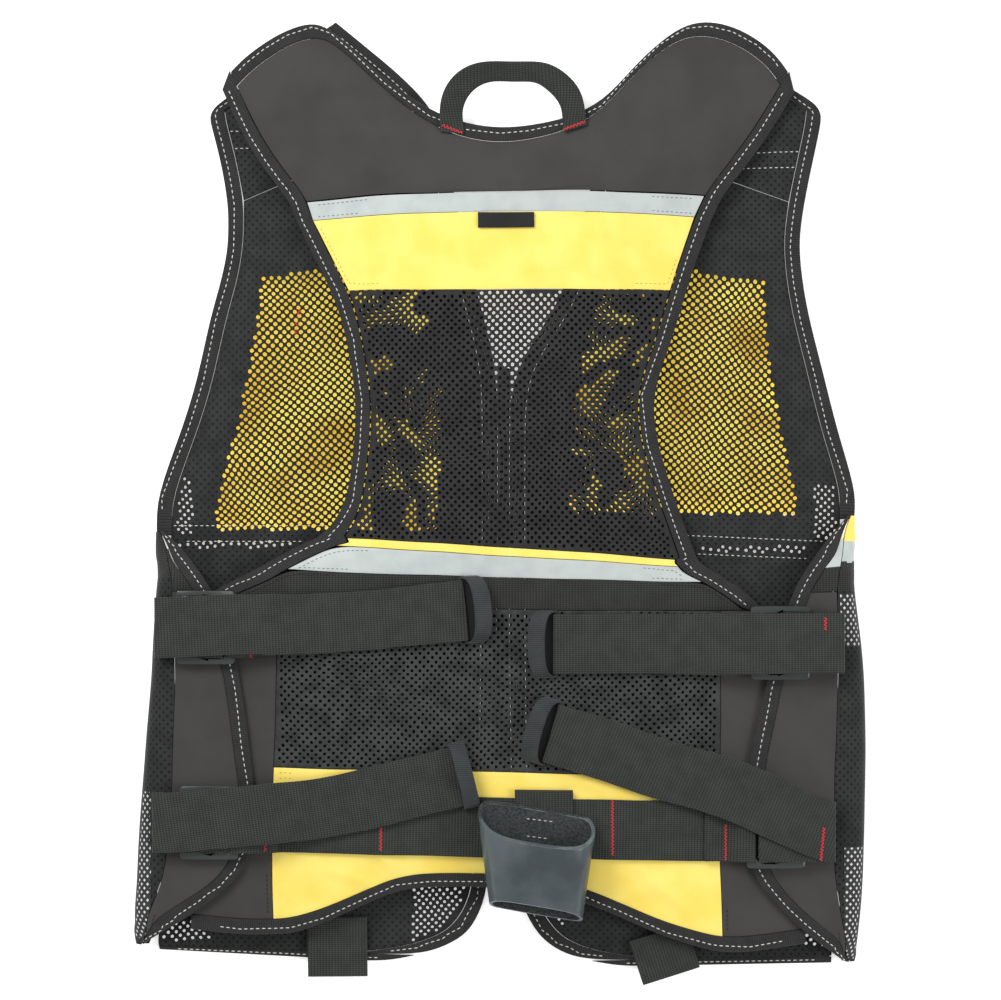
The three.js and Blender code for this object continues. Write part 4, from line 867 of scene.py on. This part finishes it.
rows = [
    edge_seam("yoke_yellow_band", "bottom", 3.6, 4),
    edge_seam("lower_yellow_panel", "top", 3.0, 4),
    edge_seam("lower_yellow_panel", "top", 6.4, 4),
]
stitches("yellow_seams", rows, thread_tan, length=1.8, width=0.45, pitch=3.0)
rows = [
    edge_seam("yoke_reflective_tape", "top", 2.0, 6),
    edge_seam("yoke_reflective_tape", "bottom", 2.0, 6),
    edge_seam("waist_reflective_tape", "top", 2.0, 6),
    edge_seam("waist_reflective_tape", "bottom", 2.0, 6),
]
stitches("tape_seams", rows, thread_grey, length=2.0, width=0.5, pitch=3.0)
rows = [
    edge_seam("back_side_strip_left", "right", 3.0, 4),
    edge_seam("back_side_strip_right", "left", 3.0, 4),
    edge_seam("side_panel_left", "left", 3.2, 6),
    edge_seam("side_panel_right", "right", 3.2, 6),
    edge_seam("waist_band", "top", 1.6, 8),
]
stitches("side_seams", rows, thread_black, length=2.6, width=0.6, pitch=2.9)

# Rows of white thread cross the mesh of the fronts where the pockets and shoulder pads are sewn to it.
# Two short rows hold the hammer loop. Each is given by its start and end, in millimetres.
crossings = [
    {"on": "front_mesh_left", "start": (-213, -14), "end": (-104, -14)},
    {"on": "front_mesh_left", "start": (-201, -24), "end": (-127, -24)},
    {"on": "front_mesh_right", "start": (114, -20), "end": (206, -24)},
    {"on": "front_mesh_right", "start": (125, -32), "end": (195, -35)},
    {"on": "front_shoulder_left", "start": (-176, 238), "end": (-167, 238)},
    {"on": "front_shoulder_left", "start": (-172, 227), "end": (-159, 227)},
    {"on": "front_shoulder_right", "start": (163, 224), "end": (190, 225)},
    {"on": "front_shoulder_right", "start": (153, 214), "end": (189, 215)},
    {"on": "hammer_loop", "start": (16, -199), "end": (33, -201)},
    {"on": "hammer_loop", "start": (16, -210), "end": (32, -212)},
]
above_loop = 80
samples = 30
rows = []
for crossing in crossings:
    tree = surfaces[crossing["on"]]
    start = Vector((*crossing["start"], above_loop)) * MM
    end = Vector((*crossing["end"], above_loop)) * MM
    hits = [tree.ray_cast(start.lerp(end, step / samples), DOWN)[0] for step in range(samples + 1)]
    rows.append((tree, [hit for hit in hits if hit is not None]))
stitches("crossing_stitches", rows, thread_white, length=2.4, width=0.7, pitch=3.6)

# Sewing bars are dense rows of red thread that hold the webbing where it pulls. The thread goes to and fro
# between the sides of a bar. Each is given by its start and end, in millimetres.
thread_red = woven("red thread", (226, 52, 62), (196, 38, 50), 0.6, relief=0.1)
bars = [
    {"on": "waist_belt", "start": (-75.7, -205), "end": (-75.7, -220)},
    {"on": "waist_belt", "start": (71.1, -188), "end": (71.1, -223)},
    {"on": "waist_belt", "start": (142.9, -203), "end": (142.9, -226)},
    {"on": "strap_lower_right", "start": (205, -205), "end": (203, -226)},
    {"on": "buckle_tab_upper_left", "start": (-158, -94), "end": (-158, -100)},
    {"on": "strap_upper_right", "start": (206, -72), "end": (206, -80)},
    {"on": "front_mesh_left", "start": (-128, 124), "end": (-131, 108)},
    {"on": "waist_belt", "start": (-149, -215), "end": (-149, -220)},
    {"on": "hang_loop", "start": (-37, 241), "end": (-24, 236)},
    {"on": "hang_loop", "start": (40, 238), "end": (54, 243)},
]
above_straps = 40
thread_step = 1.1 * MM
shape = bmesh.new()
for bar in bars:
    start = Vector((*bar["start"], above_straps)) * MM
    end = Vector((*bar["end"], above_straps)) * MM
    tree = surfaces[bar["on"]]
    run = (end - start).normalized()
    across = run.cross(Vector((0, 0, 1)))
    count = max(4, int((end - start).length / thread_step))
    for step in range(count):
        place = start.lerp(end, (step + 0.5) / count)
        hit = tree.ray_cast(place, DOWN)[0]
        if hit is None:
            continue
        lean = across + run * (0.5 if step % 2 else -0.5)
        sew(shape, tree, hit, lean, 2.6 * MM, 0.8 * MM)
bar_piece = put_in_scene("sewing_bars", shape)
bar_piece.data.materials.append(thread_red)
hold(bar_piece, [])

# The vest lies on a plain pale floor that glows slightly, so that it shows as white as in the photograph.
# It is under an even bright sky, with a wide soft light from the upper left and a smaller one from the right.
floor_shape = bmesh.new()
bmesh.ops.create_grid(floor_shape, x_segments=1, y_segments=1, size=3.0)
floor = put_in_scene("floor", floor_shape)
floor.location.z = -0.05 * MM
floor_paint = bpy.data.materials.new("floor paint")
floor_paint.use_nodes = True
paint = floor_paint.node_tree.nodes["Principled BSDF"].inputs
paint["Base Color"].default_value = (0.94, 0.94, 0.94, 1.0)
paint["Roughness"].default_value = 0.9
paint["Emission Color"].default_value = (1.0, 1.0, 1.0, 1.0)
paint["Emission Strength"].default_value = 0.5
floor.data.materials.append(floor_paint)

sky = bpy.data.worlds.new("studio")
sky.use_nodes = True
light_of_sky = sky.node_tree.nodes["Background"].inputs
light_of_sky["Color"].default_value = (1.0, 1.0, 1.0, 1.0)
light_of_sky["Strength"].default_value = 0.68
bpy.context.scene.world = sky
lamps = [
    {"name": "key light", "place": (-0.9, 1.0, 1.4), "size": 0.8, "power": 22.0},
    {"name": "fill light", "place": (1.2, -0.3, 1.0), "size": 0.5, "power": 7.0},
]
for lamp in lamps:
    glow = bpy.data.lights.new(lamp["name"], "AREA")
    glow.size = lamp["size"]
    glow.energy = lamp["power"]
    light = bpy.data.objects.new(lamp["name"], glow)
    light.location = lamp["place"]
    light.rotation_euler = (-Vector(lamp["place"])).to_track_quat("-Z", "Y").to_euler()
    bpy.context.scene.collection.objects.link(light)
bpy.context.scene.view_settings.view_transform = "Standard"

# The camera looks straight down from far above, so that heights hardly lean outwards.
# It takes in the width that the photograph shows.
picture_width = 636 * MM
camera_height = 3.0
lens = bpy.data.cameras.new("camera")
lens.sensor_fit = "HORIZONTAL"
lens.lens = lens.sensor_width * camera_height / picture_width
camera = bpy.data.objects.new("camera", lens)
camera.location = (0.2 * MM, 2.4 * MM, camera_height + 20 * MM)
bpy.context.scene.collection.objects.link(camera)
bpy.context.scene.camera = camera
